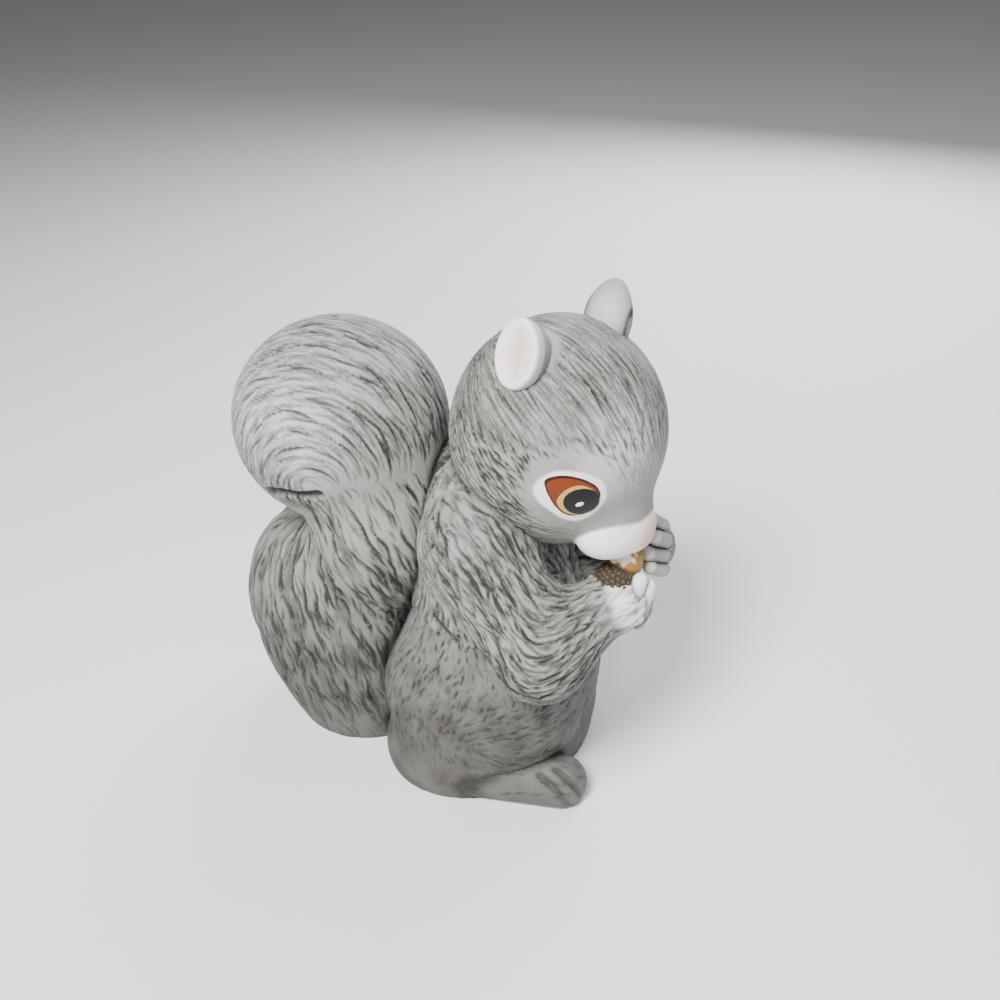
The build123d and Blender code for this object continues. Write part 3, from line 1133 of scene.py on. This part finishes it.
@dataclass
class Trunk:
    """The torso with its haunches, both arms with their paws, and the fur that runs over them all."""

    body_cuts: int = 125
    right_cuts: int = 104
    left_cuts: int = 72
    finger_cuts: int = 22
    right_fur_end: Place = (-13.0, -25.0, 54.0)
    left_fur_end: Place = (0.6, -29.6, 57.4)
    right_wrist: Place = (-12.6, -26.0, 54.6)
    paw_middle: Place = (-14.4, -27.6, 54.6)
    thigh_swirl: Place = (0.0, 4.0, 18.0)
    downward: Place = (0.0, 0.25, -1.0)
    fringe_height: float = 43.0
    fringe_rise: float = 1.0
    fold: tuple[Place, ...] = (
        (-25.8, 9.9, 69.7), (-22.6, 13.0, 57.3), (-20.8, 13.2, 46.7), (-22.9, 7.4, 42.8))
    palm_cut: tuple[Place, ...] = ((-13.6, -26.0, 58.4), (-15.6, -26.7, 57.4), (-17.6, -26.6, 54.6))
    vent_middle: Flat = (0.0, 11.4)
    vent_radius: float = 8.0
    vent_depth: float = 9.0
    right_fingers: tuple[FingerRow, ...] = (
        ((-13.2, -29.0, 58.6), (-16.6, -27.8, 54.0), 1.6, 1.9),
        ((-12.4, -30.7, 56.8), (-15.4, -29.6, 52.8), 1.5, 1.9),
        ((-13.2, -31.0, 53.0), (-16.0, -29.2, 50.4), 1.4, 1.6),
        ((-15.6, -24.6, 53.2), (-16.8, -23.6, 51.6), 1.9, 2.3))
    left_fingers: tuple[FingerRow, ...] = (
        ((-0.2, -29.1, 64.4), (0.9, -30.9, 62.6), 1.6, 1.7),
        ((-2.6, -30.2, 61.8), (-0.8, -31.6, 60.2), 1.8, 1.9),
        ((-4.6, -29.4, 59.2), (-2.4, -31.6, 57.4), 1.8, 1.9),
        ((-5.2, -29.9, 56.4), (-3.6, -31.9, 55.0), 1.7, 1.8))
    nail_offset: Place = (-1.1, 0.2, 0.9)

    def arm_flow(self, points: Array, shoulder: Place, elbow: Place, paw: Place) -> Array:
        """Fur that runs down the upper arm and then along the forearm.

        Args:
            points: Where the direction is wanted.
            shoulder: The upper arm's start.
            elbow: Where it meets the forearm.
            paw: The forearm's end.

        Returns:
            The direction at each point.
        """
        middle = np.array(elbow)
        upper = unit(middle - np.array(shoulder))
        fore = unit(np.array(paw) - middle)
        share = smoothstep(-9.0, 5.0, (points - middle) @ unit(fore + upper))[:, None]
        return upper * (1 - share) + fore * share

    def haunch_flow(self, points: Array) -> Array:
        """Fur that runs down and a little back, in a swirl round the thigh.

        Args:
            points: Where the direction is wanted.

        Returns:
            The direction at each point.
        """
        swirl = round_x(points - np.array(self.thigh_swirl))
        share = (0.5 * by_height(40.0, 24.0, points))[:, None]
        return unit(swirl * share + np.array(self.downward) * (1 - share))

    def near_arm(self, points: Array) -> Array:
        """How far points are from the nearer arm."""
        return np.minimum(RIGHT_ARM_FORM.distance(points), LEFT_ARM_FORM.distance(points))

    def flow(self, points: Array) -> Array:
        """The fur of the whole trunk.

        Args:
            points: Where the direction is wanted.

        Returns:
            The direction at each point.
        """
        right = self.arm_flow(points, RIGHT_SHOULDER, RIGHT_ELBOW, self.right_fur_end)
        left = self.arm_flow(points, LEFT_SHOULDER, LEFT_ELBOW, self.left_fur_end)
        arm = np.where(points[:, :1] < 0, right, left)
        share = smoothstep(9.0, 0.5, self.near_arm(points))[:, None]
        return arm * share + self.haunch_flow(points) * (1 - share)

    def sleeve(self, points: Array) -> Array:
        """Full strokes over the shoulders and arms, up to the wrists.

        Args:
            points: Where the strength is wanted.

        Returns:
            The strength of the strokes at each point, from 0 to 1.
        """
        over = np.maximum(smoothstep(4.0, 0.5, self.near_arm(points)), by_height(42.0, 48.0, points))
        to_paw = np.minimum(far_from(points, self.right_wrist), far_from(points, LEFT_PAW))
        return over * smoothstep(7.0, 12.0, to_paw)

    def haunch(self, points: Array) -> Array:
        """Softer strokes all over, fading towards the foot rim."""
        return 0.2 + 0.8 * by_height(5.0, 14.0, points)

    def fringe(self, points: Array) -> Array:
        """How far the shoulder fur stands over the haunch.

        Args:
            points: The skin's vertices.

        Returns:
            A value at each vertex, from 0 on the haunch to 1 on the shoulder fur.
        """
        coarse = 1.6 * np.sin(points[:, 1] * 1.35 + 0.6 * points[:, 0])
        teeth = coarse + 1.0 * np.sin(points[:, 1] * 2.9 + 1.3)
        line = self.fringe_height + teeth + 0.12 * (points[:, 1] - 6.0)
        return smoothstep(-0.5, 0.7, points[:, 2] - line)

    def cut_fringe(self, body: Casting) -> None:
        """Lowers the haunch below the shoulder fur, with painted shade along its edge that is fainter on the
        left.

        Args:
            body: The body's casting.
        """
        over = self.fringe(body.points)
        body.sink += self.fringe_rise * (1 - over) * by_height(22.0, 42.0, body.points)
        # Painted shade under the edge of the shoulder fur
        edge = 0.2 + 0.55 * smoothstep(4.0, -4.0, body.points[:, 0])
        body.add_wash_and_shade(edge * np.exp(-((over - 0.3) / 0.3) ** 2))

    def open_vent(self, body: Casting) -> None:
        """Sinks the round pouring hole into the underside, painted dark inside for the shade of the hollow.

        Args:
            body: The body's casting.
        """
        away = np.hypot(body.points[:, 0] - self.vent_middle[0], body.points[:, 1] - self.vent_middle[1])
        hole = smoothstep(self.vent_radius, self.vent_radius - 0.8, away) * (body.points[:, 2] < 0.3)
        body.points[:, 2] += self.vent_depth * hole
        # Painted shade: the hole is darkened for the dark hollow inside
        body.add_wash_and_shade(hole)

    def build(self) -> None:
        """Builds and dresses the body, the arms and the fingers."""
        body = Casting(BODY_FORM, (0.0, 6.0, 30.0), self.body_cuts)
        right = Casting(RIGHT_ARM_FORM, (-22.6, -9.4, 48.0), self.right_cuts)
        left = Casting(LEFT_ARM_FORM, (18.6, -9.0, 49.0), self.left_cuts)
        body.flare(RIGHT_SIDE, RIGHT_ARM_FORM)
        right.flare(RIGHT_SIDE, BODY_FORM)
        left.flare(TRUNK_FORM, BODY_FORM)
        castings = [body, right, left]
        rows = (
            (Comb(700, 10.0, 0.72, 0.46, 41, wave=12.0), self.sleeve),
            (Comb(1300, 5.5, 0.5, 0.18, 42, wave=12.0, dark=0.7), self.sleeve),
            (Comb(900, 5.5, 1.1, 0.3, 32, wave=14.0, stray=14.0, dark=0.6), self.haunch),
            (Comb(3800, 3.6, 0.58, 0.17, 33, stray=12.0, dark=0.8), self.haunch),
        )
        furs = [grow(TRUNK_FORM, castings, self.flow, comb, keep) for comb, keep in rows]
        self.cut_fringe(body)
        for casting in castings:
            for fur in furs:
                casting.press(fur)
            casting.tint("shade", 0.85 * by_height(58.0, 14.0, casting.points))
        # Painted shade on the body under the arms, and beside the tail, the head and the near foot
        low = by_height(60.0, 50.0, body.points)
        body.add_wash_and_shade(0.9 * low * crease(body.points, [RIGHT_ARM_FORM, LEFT_ARM_FORM], 1.3))
        body.add_shade_and_wash_beside([COLUMN_FORM, CURL_FORM, HEAD_FORM, RIGHT_FOOT_FORM], 1.3)
        for casting in (body, right):
            casting.cut(self.fold, 1.4, 1.0, 0.9)
        self.open_vent(body)
        for arm in (right, left):
            # Painted shade on the arms where they meet the body and the head
            low = by_height(60.0, 50.0, arm.points)
            arm.add_wash_and_shade(0.7 * low * crease(arm.points, [BODY_FORM], 0.9))
            arm.add_shade_and_wash_beside([HEAD_FORM], 1.0, 0.6)
        white = 0.85 * smoothstep(7.4, 5.4, far_from(right.points, self.paw_middle))
        right.cut(self.palm_cut, 1.1, 0.7, 0.9)
        right.tint("white", white * (1 - 0.8 * np.clip(right.dark, 0, 1)))
        body.place("body_skin", GREY_FINISH, "body_shell")
        right.place("right_arm_skin", GREY_FINISH, "right_arm")
        left.place("left_arm_skin", GREY_FINISH, "left_arm")
        self.build_fingers("right", self.right_fingers, [RIGHT_ARM_FORM, CAP], 0.55, self.right_white)
        self.build_fingers("left", self.left_fingers, [], 0.5, self.left_white)

    def right_white(self, finger: Casting, start: Place) -> Array:
        """The white sprayed on the near paw, kept out of the painted shade between its fingers."""
        white = 0.85 - 0.5 * by_height(54.0, 50.0, finger.points)
        return white * (1 - 0.85 * np.clip(finger.dark, 0, 1))

    def left_white(self, finger: Casting, start: Place) -> Array:
        """The pale nails of the far paw."""
        nail = tuple(np.array(start) + np.array(self.nail_offset))
        return 0.5 * smoothstep(1.9, 0.9, far_from(finger.points, nail))

    def build_fingers(self, side: str, rows: Sequence[FingerRow], beside: Sequence[Shape], spread: float,
                      white: Callable[[Casting, Place], Array]) -> None:
        """Builds the fingers that curl over one side of the acorn.

        Args:
            side: The paw's side.
            rows: Each finger's start and end, with the radius at both.
            beside: Forms other than the fingers that painted shade is laid against.
            spread: How far the painted shade reaches.
            white: Gives the white at each vertex of a finger from the finger and its start.
        """
        forms = [Form(Limb(*row), floor=False) for row in rows]
        for number, (form, (start, end, _, _)) in enumerate(zip(forms, rows), 1):
            finger = Casting(form, tuple((np.array(start) + np.array(end)) / 2), self.finger_cuts)
            others = [other for other in forms if other is not form]
            # Painted shade between the fingers and against the forms beside them
            finger.add_shade_and_wash_beside([*others, *beside], spread, 0.9)
            finger.tint("white", white(finger, start))
            finger.place(f"{side}_finger_{number}", GREY_FINISH)


@dataclass(frozen=True)
class Foot:
    """One hind foot, with two cuts between its toes."""

    side: str
    form: Form
    centre: Place
    mirror: float
    shift: Flat
    toe_depth: float
    cuts: int = 60
    toe_gaps: tuple[tuple[Place, ...], ...] = (
        ((-25.0, -10.9, 9.1), (-26.1, -13.9, 7.5), (-26.6, -16.3, 5.5), (-25.7, -17.6, 1.9)),
        ((-22.9, -14.0, 9.9), (-24.0, -16.5, 8.9), (-24.3, -18.9, 6.7), (-23.4, -20.1, 3.3)))

    def flow(self, points: Array) -> Array:
        """Fur that runs forward to the toes."""
        return np.array((0.2, -1.0, 0.1)) + 0 * points

    def build(self) -> None:
        """Builds and dresses the foot."""
        foot = Casting(self.form, self.centre, self.cuts)
        for gap in self.toe_gaps:
            path = [(self.mirror * x + self.shift[0], y + self.shift[1], z) for x, y, z in gap]
            foot.cut(path, 1.3, self.toe_depth, 0.5 * self.toe_depth)
        foot.comb(self.flow, Comb(160, 5.0, 0.5, 0.1, 71, dark=0.5))
        # Painted shade where the foot meets the body
        foot.add_shade_and_wash_beside([BODY_FORM], 1.2)
        foot.tint("shade", 0.8)
        foot.place(f"{self.side}_foot_skin", GREY_FINISH, f"{self.side}_hind_foot")


@dataclass
class Feet:
    """Both hind feet."""

    right: Foot = Foot("right", RIGHT_FOOT_FORM, (-21.8, -5.0, 4.4), 1.0, (0.0, 0.0), 1.0)
    left: Foot = Foot("left", LEFT_FOOT_FORM, (19.4, 0.0, 4.4), -1.0, (-2.6, 6.6), 0.45)

    def build(self) -> None:
        """Builds and dresses the feet."""
        for foot in (self.right, self.left):
            foot.build()


EYE_OPENING = ((-5.1, 3.4), (-3.6, 4.4), (-1.6, 4.6), (0.9, 4.1), (3.1, 3.0), (4.9, 1.3), (5.5, -0.7),
               (4.6, -2.7), (2.8, -4.1), (0.6, -4.7), (-1.4, -3.9), (-2.9, -2.3), (-4.1, -0.2), (-4.9, 1.8))
EYE_SURROUND = ((-7.1, 1.2), (-5.6, 3.9), (-3.0, 5.4), (0.2, 5.3), (3.4, 4.3), (6.1, 1.9), (6.7, -1.2),
                (5.2, -4.0), (1.6, -6.3), (-1.4, -5.4), (-3.9, -3.3), (-6.3, -0.8))


def oval(centre: Flat, long: float, short: float, tilt: float) -> tuple[Flat, ...]:
    """Sixteen points round an oval.

    Args:
        centre: The oval's middle.
        long: Half its length.
        short: Half its breadth.
        tilt: Its turn in degrees.

    Returns:
        The points, in order.
    """
    turn = math.radians(tilt)
    rows = []
    for index in range(16):
        angle = 2 * math.pi * index / 16
        x, y = long * math.cos(angle), short * math.sin(angle)
        rows.append((centre[0] + x * math.cos(turn) - y * math.sin(turn),
                     centre[1] + x * math.sin(turn) + y * math.cos(turn)))
    return tuple(rows)


@dataclass(frozen=True)
class Paint:
    """One colour of the eye: its outline on the eye's plane, and how far its middle stands over the skin."""

    name: str
    outline: tuple[Flat, ...]
    centre: Flat
    lift: float
    finish: Enamel
    rim: float = 0.0


PAINTS = (
    Paint("iris", EYE_OPENING, (0.0, 0.0), 0.26, IRIS_FINISH, 0.14),
    Paint("crescent", oval((1.0, -0.85), 4.15, 3.65, -24.0), (1.0, -0.85), 0.33, CRESCENT_FINISH, 0.1),
    Paint("pupil", oval((1.7, -1.15), 3.75, 3.1, -20.0), (1.7, -1.15), 0.42, PUPIL_FINISH),
    Paint("glint", oval((1.45, -1.55), 1.0, 0.6, 15.0), (1.45, -1.55), 0.52, GLINT_FINISH),
)


@dataclass
class Eye:
    """One painted eye: a white surround on the head, and gloss layers for its colours.

    The outlines are drawn on a plane with u towards the nose and v up, in millimetres from the eye's middle.
    """

    side: str
    middle: Place
    towards_nose: Place
    outward: Place
    cuts: int = 26
    start_height: float = 9.0
    sunk: float = 0.4
    surround_back: float = -6.0

    def axes(self) -> tuple[Array, Array, Array]:
        """Finds the eye's own axes.

        Returns:
            The directions of u, v and out of the head.
        """
        out = unit(np.array(self.outward))
        u = np.array(self.towards_nose)
        u = unit(u - (u @ out) * out)
        v = np.cross(out, u)
        return (u, v if v[2] > 0 else -v, out)

    @staticmethod
    def reach(outline: Sequence[Flat], centre: Flat, angles: Array) -> Array:
        """Measures a smooth closed outline from its centre.

        Args:
            outline: Points of the outline.
            centre: A point inside it.
            angles: The angles at which it is measured.

        Returns:
            The distance from the centre to the outline at each angle.
        """
        rows = np.array(outline) - np.array(centre)
        turns = np.arctan2(rows[:, 1], rows[:, 0])
        order = np.argsort(turns)
        once = turns[order]
        knots = np.concatenate([once - 2 * math.pi, once, once + 2 * math.pi])
        sizes = np.tile(np.hypot(rows[order, 0], rows[order, 1]), 3)
        slopes = (np.roll(sizes, -1) - np.roll(sizes, 1)) / (np.roll(knots, -1) - np.roll(knots, 1) + TINY)
        slopes[0] = slopes[-1] = 0.0
        return curve(knots, sizes, slopes, angles)

    def surround(self, points: Array) -> Array:
        """Finds the white sprayed round the eye.

        Args:
            points: The head's vertices.

        Returns:
            The white at each vertex, from 0 to 1.
        """
        u, v, out = self.axes()
        away = points - np.array(self.middle)
        across, up = away @ u, away @ v
        share = np.hypot(across, up) / self.reach(EYE_SURROUND, (0.0, 0.0), np.arctan2(up, across))
        return smoothstep(1.07, 0.93, share) * (away @ out > self.surround_back)

    def lay(self, paint: Paint) -> bpy.types.Mesh:
        """Lays one colour on the head as a thin lens.

        Args:
            paint: The colour.

        Returns:
            The lens, in metres.
        """
        u, v, out = self.axes()
        mesh = ball(self.cuts)
        rows = vertices_of(mesh)
        share = np.hypot(rows[:, 0], rows[:, 1])
        angles = np.arctan2(rows[:, 1], rows[:, 0])
        wide = share ** 0.9 * self.reach(paint.outline, paint.centre, angles)
        flat = np.array(paint.centre) + np.stack([np.cos(angles) * wide, np.sin(angles) * wide], axis=1)
        start = np.array(self.middle) + flat[:, :1] * u + flat[:, 1:] * v + self.start_height * out
        drop = crossing(HEAD_FORM, start, -out, LENS_REACH, LENS_HALVINGS, side=-1.0)
        skin = start - drop[:, None] * out
        normal = slope_of(HEAD_FORM, skin)
        dome = np.sqrt(np.clip(1 - share ** 2, 0, 1))
        rise = np.where(rows[:, 2] > 0, paint.lift * (0.45 + 0.55 * dome), -self.sunk * dome)
        edge = smoothstep(0.0, 0.25, dome)
        set_vertices(mesh, (skin + normal * (rise * edge)[:, None]) * MM)
        rim = smoothstep(1 - paint.rim, 1 - paint.rim * 0.6, share) if paint.rim else np.zeros(len(rows))
        set_values(mesh, "rim", rim)
        bm = bmesh.new()
        bm.from_mesh(mesh)
        bmesh.ops.recalc_face_normals(bm, faces=bm.faces)
        bm.to_mesh(mesh)
        bm.free()
        return mesh

    def build(self) -> None:
        """Lays the colours, from the lowest up. The glint stands for no node."""
        for paint in PAINTS:
            nodes = () if paint.name == "glint" else (f"{self.side}_eye_{paint.name}",)
            place_piece(self.lay(paint), f"{self.side}_{paint.name}", paint.finish, nodes)


RIGHT_EYE = Eye("right", (-19.63, -16.58, 80.94), (0.374, -0.927, -0.031), (-0.90, -0.38, -0.02))
LEFT_EYE = Eye("left", (16.6, -25.2, 80.94), (-0.70, -0.71, -0.03), (0.66, -0.75, -0.02))


@dataclass
class Head:
    """The head with its muzzle, ears and eyes."""

    cuts: int = 125
    small_cuts: int = 60
    nose: Place = (-6.4, -27.0, 66.0)
    brow_highlight_middle: Place = (-13.0, -24.0, 88.0)
    brow_highlight_reach: Place = (12.0, 10.0, 11.0)
    pink_middle: Place = (-8.0, -30.2, 66.4)
    pink_reach: Place = (4.4, 4.4, 5.4)
    mouth: tuple[Place, ...] = ((-11.4, -27.0, 61.0), (-10.4, -28.8, 63.4), (-9.4, -29.6, 65.8))

    def flow(self, points: Array) -> Array:
        """Fur that runs back from the nose all round the head."""
        return points - np.array(self.nose)

    def keep(self, points: Array) -> Array:
        """Smooth round the eyes and the muzzle, and fainter on the brow."""
        near_eye = np.minimum(far_from(points, RIGHT_EYE.middle), far_from(points, LEFT_EYE.middle))
        return smoothstep(9.0, 28.0, far_from(points, self.nose)) * smoothstep(7.0, 11.0, near_eye)

    def crown_keep(self, points: Array) -> Array:
        """Long thin lines over the top of the head."""
        return self.keep(points) * by_height(84.0, 92.0, points)

    def cheek_keep(self, points: Array) -> Array:
        """Short strokes on the cheeks and the back of the head."""
        return self.keep(points) * by_height(98.0, 88.0, points)

    def build(self) -> None:
        """Builds and dresses the head, its muzzle, ears and eyes."""
        head = Casting(HEAD_FORM, (1.0, -10.0, 81.0), self.cuts)
        head.flare(HEAD_WITH_ROOT, RIGHT_EAR_ROOT, 2.5)
        rows = (
            (Comb(1250, 4.4, 0.64, 0.34, 51, wave=6.0, stray=6.0), self.cheek_keep),
            (Comb(1500, 2.8, 0.5, 0.18, 53, stray=9.0, dark=0.8), self.cheek_keep),
            (Comb(620, 15.0, 0.52, 0.26, 52, wave=4.0, stray=2.5, dark=0.75), self.crown_keep),
            (Comb(900, 6.0, 0.46, 0.12, 54, wave=5.0, stray=4.0, dark=0.5), self.crown_keep),
        )
        for comb, keep in rows:
            head.comb(self.flow, comb, keep)
        # Painted shade where the head meets the body, the arms and the tail
        head.add_shade_and_wash_beside([BODY_FORM, RIGHT_ARM_FORM, LEFT_ARM_FORM, CURL_FORM], 1.3, 0.8)
        # Painted highlight on the brow, kept out of the carving; the other white layers are the sprayed eye
        # surrounds and the muzzle
        brow = smoothstep(1.2, 0.2, far_from(head.points, self.brow_highlight_middle, self.brow_highlight_reach))
        layers = (RIGHT_EYE.surround(head.points), LEFT_EYE.surround(head.points),
                  0.9 * smoothstep(0.5, 0.0, MUZZLE_FORM.distance(head.points)),
                  0.42 * brow * (1 - head.dark))
        head.tint("white", np.max(layers, axis=0))
        head.tint("shade", 0.3 * by_height(80.0, 60.0, head.points))
        head.place("head_skin", GREY_FINISH, "head_shell", "right_eye_white", "left_eye_white")
        self.build_muzzle()
        for eye in (RIGHT_EYE, LEFT_EYE):
            eye.build()
        self.build_ear("right", RIGHT_EAR)
        self.build_ear("left", LEFT_EAR)

    def build_muzzle(self) -> None:
        """Builds the smooth white muzzle with its pink nose end."""
        muzzle = Casting(MUZZLE_FORM, (-6.8, -24.0, 67.6), self.small_cuts)
        muzzle.cut(self.mouth, 1.0, 0.5, 0.7)
        pink = far_from(muzzle.points, self.pink_middle, self.pink_reach)
        muzzle.tint("pink", 0.75 * smoothstep(1.15, 0.5, pink))
        muzzle.tint("white", 0.7)
        muzzle.place("muzzle_skin", WHITE_FINISH, "muzzle", "nose")

    def build_ear(self, side: str, cup: Cup) -> None:
        """Builds one ear. The right one is pale and faintly pink with painted shade down its hollow, and the
        left one greyer with painted shade along one side and a dark line by the rim.

        Args:
            side: The figure's side that it is on.
            cup: Its form.
        """
        out = cup.axes()[2]
        middle = np.array(cup.centre) - out * min(cup.radii[2] * 0.65, 4.0)
        ear = Casting(Form(cup, floor=False), tuple(middle), self.small_cuts)
        rows = cup.local(ear.points)
        across = rows[:, 0] / cup.radii[0]
        edge = np.hypot(across, rows[:, 1] / cup.radii[1])
        open_side = smoothstep(-0.1, 0.5, ear.normals @ out)
        if side == "right":
            # Painted shade down the middle of the hollow, taken out of the white
            streak = np.exp(-((rows[:, 0] - 0.5) / 0.8) ** 2) * open_side * smoothstep(0.9, 0.5, edge)
            ear.add_wash_and_shade(0.3 * streak)
            ear.tint("white", np.maximum(open_side * (0.95 - 0.3 * streak), 0.45 * (rows[:, 2] > -3.0)))
            ear.tint("pink", 0.5 * open_side * smoothstep(0.9, 0.2, edge))
        else:
            # Painted shade along one side, and a dark line by the rim on the other
            shade_and_rim_line = smoothstep(0.55, 0.95, across) + np.exp(-((across + 0.82) / 0.07) ** 2)
            ear.add_wash_and_shade(0.75 * np.clip(shade_and_rim_line, 0.0, 1.0))
            ear.tint("white", 0.4 * smoothstep(0.9, 0.3, edge) + 0.4 * open_side)
        # Painted shade where the ear meets the head
        ear.add_shade_and_wash_beside([HEAD_FORM], 1.2, 0.3)
        ear.place(f"{side}_ear_skin", GREY_FINISH, f"{side}_ear")


@dataclass
class Acorn:
    """The acorn: an amber nut with a white bite, in a scaly cap."""

    nut: Egg = NUT
    cap: Egg = CAP
    nut_cuts: int = 40
    cap_cuts: int = 48
    bite_middle: Place = (-11.2, -24.6, 62.6)
    bite_reach: Place = (2.2, 3.0, 1.9)
    scale_rows: int = 7
    scale_columns: int = 18
    scale_depth: float = 0.45

    def build(self) -> None:
        """Builds the nut and the cap."""
        self.build_nut()
        self.build_cap()

    def build_nut(self) -> None:
        """Builds and dresses the nut, with a ragged bite out of its side."""
        nut = Casting(Form(self.nut, floor=False), self.nut.centre, self.nut_cuts)
        away = nut.points - np.array(self.bite_middle)
        bite = far_from(nut.points, self.bite_middle, self.bite_reach)
        bite += 0.16 * np.sin(away[:, 1] * 2.7 + 1.0) + 0.1 * np.sin(away[:, 0] * 4.1)
        nut.tint("white", smoothstep(1.05, 0.85, bite))
        nut.sink += 0.6 * smoothstep(1.1, 0.8, bite)
        # Painted shade on the nut where it sits in the cap
        nut.add_shade_and_wash_beside([self.cap], 0.5, 0.9)
        nut.place("nut_skin", NUT_FINISH, "acorn_nut")

    def build_cap(self) -> None:
        """Builds and dresses the cap, with rows of scales that lie half a scale apart."""
        cap = Casting(Form(self.cap, floor=False), self.cap.centre, self.cap_cuts)
        local = (cap.points - np.array(self.cap.centre)) @ turned(self.cap.turn)
        turn = np.arctan2(local[:, 1], local[:, 0]) / (2 * math.pi) * self.scale_columns
        level = (local[:, 2] / self.cap.radii[2] + 1) / 2 * self.scale_rows
        odd = np.floor(level) % 2
        across = np.abs((turn + 0.5 * odd) % 1.0 - 0.5) * 2
        along = np.abs(level % 1.0 - 0.5) * 2
        gap = np.maximum(across, along) ** 4
        cap.sink += self.scale_depth * gap
        cap.add_wash_and_shade(0.9 * gap)
        cap.place("cap_skin", CAP_FINISH, "acorn_cap")


# The studio

@dataclass(frozen=True)
class Lamp:
    """One soft round light."""

    name: str
    at: Place
    size: float
    power: float
    colour: Colour

    def build(self, aim: Place) -> None:
        """Adds the light.

        Args:
            aim: The point that it faces.
        """
        data = bpy.data.lights.new(self.name, "AREA")
        data.shape = "DISK"
        data.size = self.size
        data.energy = self.power
        data.color = self.colour
        lamp = bpy.data.objects.new(self.name, data)
        start = Vector(self.at) * MM
        lamp.location = start
        lamp.rotation_euler = (Vector(aim) * MM - start).to_track_quat("-Z", "Y").to_euler()
        bpy.context.scene.collection.objects.link(lamp)


@dataclass(frozen=True)
class Studio:
    """A pale floor, soft lights and the camera at the photograph's place."""

    camera_at: Place = (-169.0, -51.15, 184.0)
    pitch: float = 34.0
    roll: float = -2.5
    azimuth: float = -72.0
    lens: float = 36.0
    sensor: float = 36.0
    aim: Place = (0.0, 10.0, 50.0)
    floor_size: float = 4.0
    floor_tones: tuple[Colour, Colour] = ((0.78, 0.77, 0.76), (0.84, 0.83, 0.82))
    air: tuple[float, float, float, float] = (0.92, 0.94, 1.0, 1.0)
    air_strength: float = 0.15
    lamps: tuple[Lamp, ...] = (
        Lamp("key", (-280.0, 70.0, 470.0), 0.2, 6.2, (1.0, 0.985, 0.955)),
        Lamp("fill", (-330.0, -260.0, 240.0), 0.5, 0.6, (0.96, 0.98, 1.0)),
        Lamp("far", (380.0, -60.0, 300.0), 0.5, 3.2, (0.97, 0.98, 1.0)))

    def floor(self) -> None:
        """A wide pale floor."""
        bm = bmesh.new()
        bmesh.ops.create_grid(bm, x_segments=1, y_segments=1, size=self.floor_size)
        mesh = bpy.data.meshes.new("floor")
        bm.to_mesh(mesh)
        bm.free()
        material, tree, shader = blank_material("pale_floor")
        tone = tree.mix(tree.noise(tree.place(), 3.0, 2.0), *self.floor_tones)
        tree.feed(shader, {"Base Color": tone, "Roughness": 0.8})
        mesh.materials.append(material)
        floor = bpy.data.objects.new("floor", mesh)
        bpy.context.scene.collection.objects.link(floor)

    def camera(self) -> None:
        """The camera, at the photograph's place and angle."""
        pitch, roll, turn = (math.radians(angle) for angle in (self.pitch, self.roll, self.azimuth))
        level = Vector((-math.sin(turn), math.cos(turn), 0.0))
        right = Vector((math.cos(turn), math.sin(turn), 0.0))
        up = Vector((0.0, 0.0, 1.0))
        ahead = level * math.cos(pitch) - up * math.sin(pitch)
        above = level * math.sin(pitch) + up * math.cos(pitch)
        x_axis = right * math.cos(roll) + above * math.sin(roll)
        y_axis = above * math.cos(roll) - right * math.sin(roll)
        data = bpy.data.cameras.new("camera")
        data.sensor_width = self.sensor
        data.lens = self.lens
        data.clip_start = 0.01
        data.clip_end = 20.0
        camera = bpy.data.objects.new("camera", data)
        axes = Matrix((x_axis, y_axis, -ahead)).transposed().to_4x4()
        camera.matrix_world = Matrix.Translation(Vector(self.camera_at) * MM) @ axes
        bpy.context.scene.collection.objects.link(camera)
        bpy.context.scene.camera = camera

    def build(self) -> None:
        """Sets up the camera, the floor, the lights and the pale surroundings."""
        self.camera()
        self.floor()
        for lamp in self.lamps:
            lamp.build(self.aim)
        world = bpy.data.worlds.new("studio")
        world.use_nodes = True
        background = world.node_tree.nodes["Background"]
        background.inputs["Color"].default_value = self.air
        background.inputs["Strength"].default_value = self.air_strength
        bpy.context.scene.world = world


def main() -> None:
    """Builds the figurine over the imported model."""
    logging.basicConfig(level=logging.INFO, format="%(message)s")
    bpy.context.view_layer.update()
    for assembly in (Studio(), Tail(), Trunk(), Feet(), Head(), Acorn()):
        assembly.build()
    for spare in _balls.values():
        bpy.data.meshes.remove(spare)


if __name__ == "__main__":
    main()
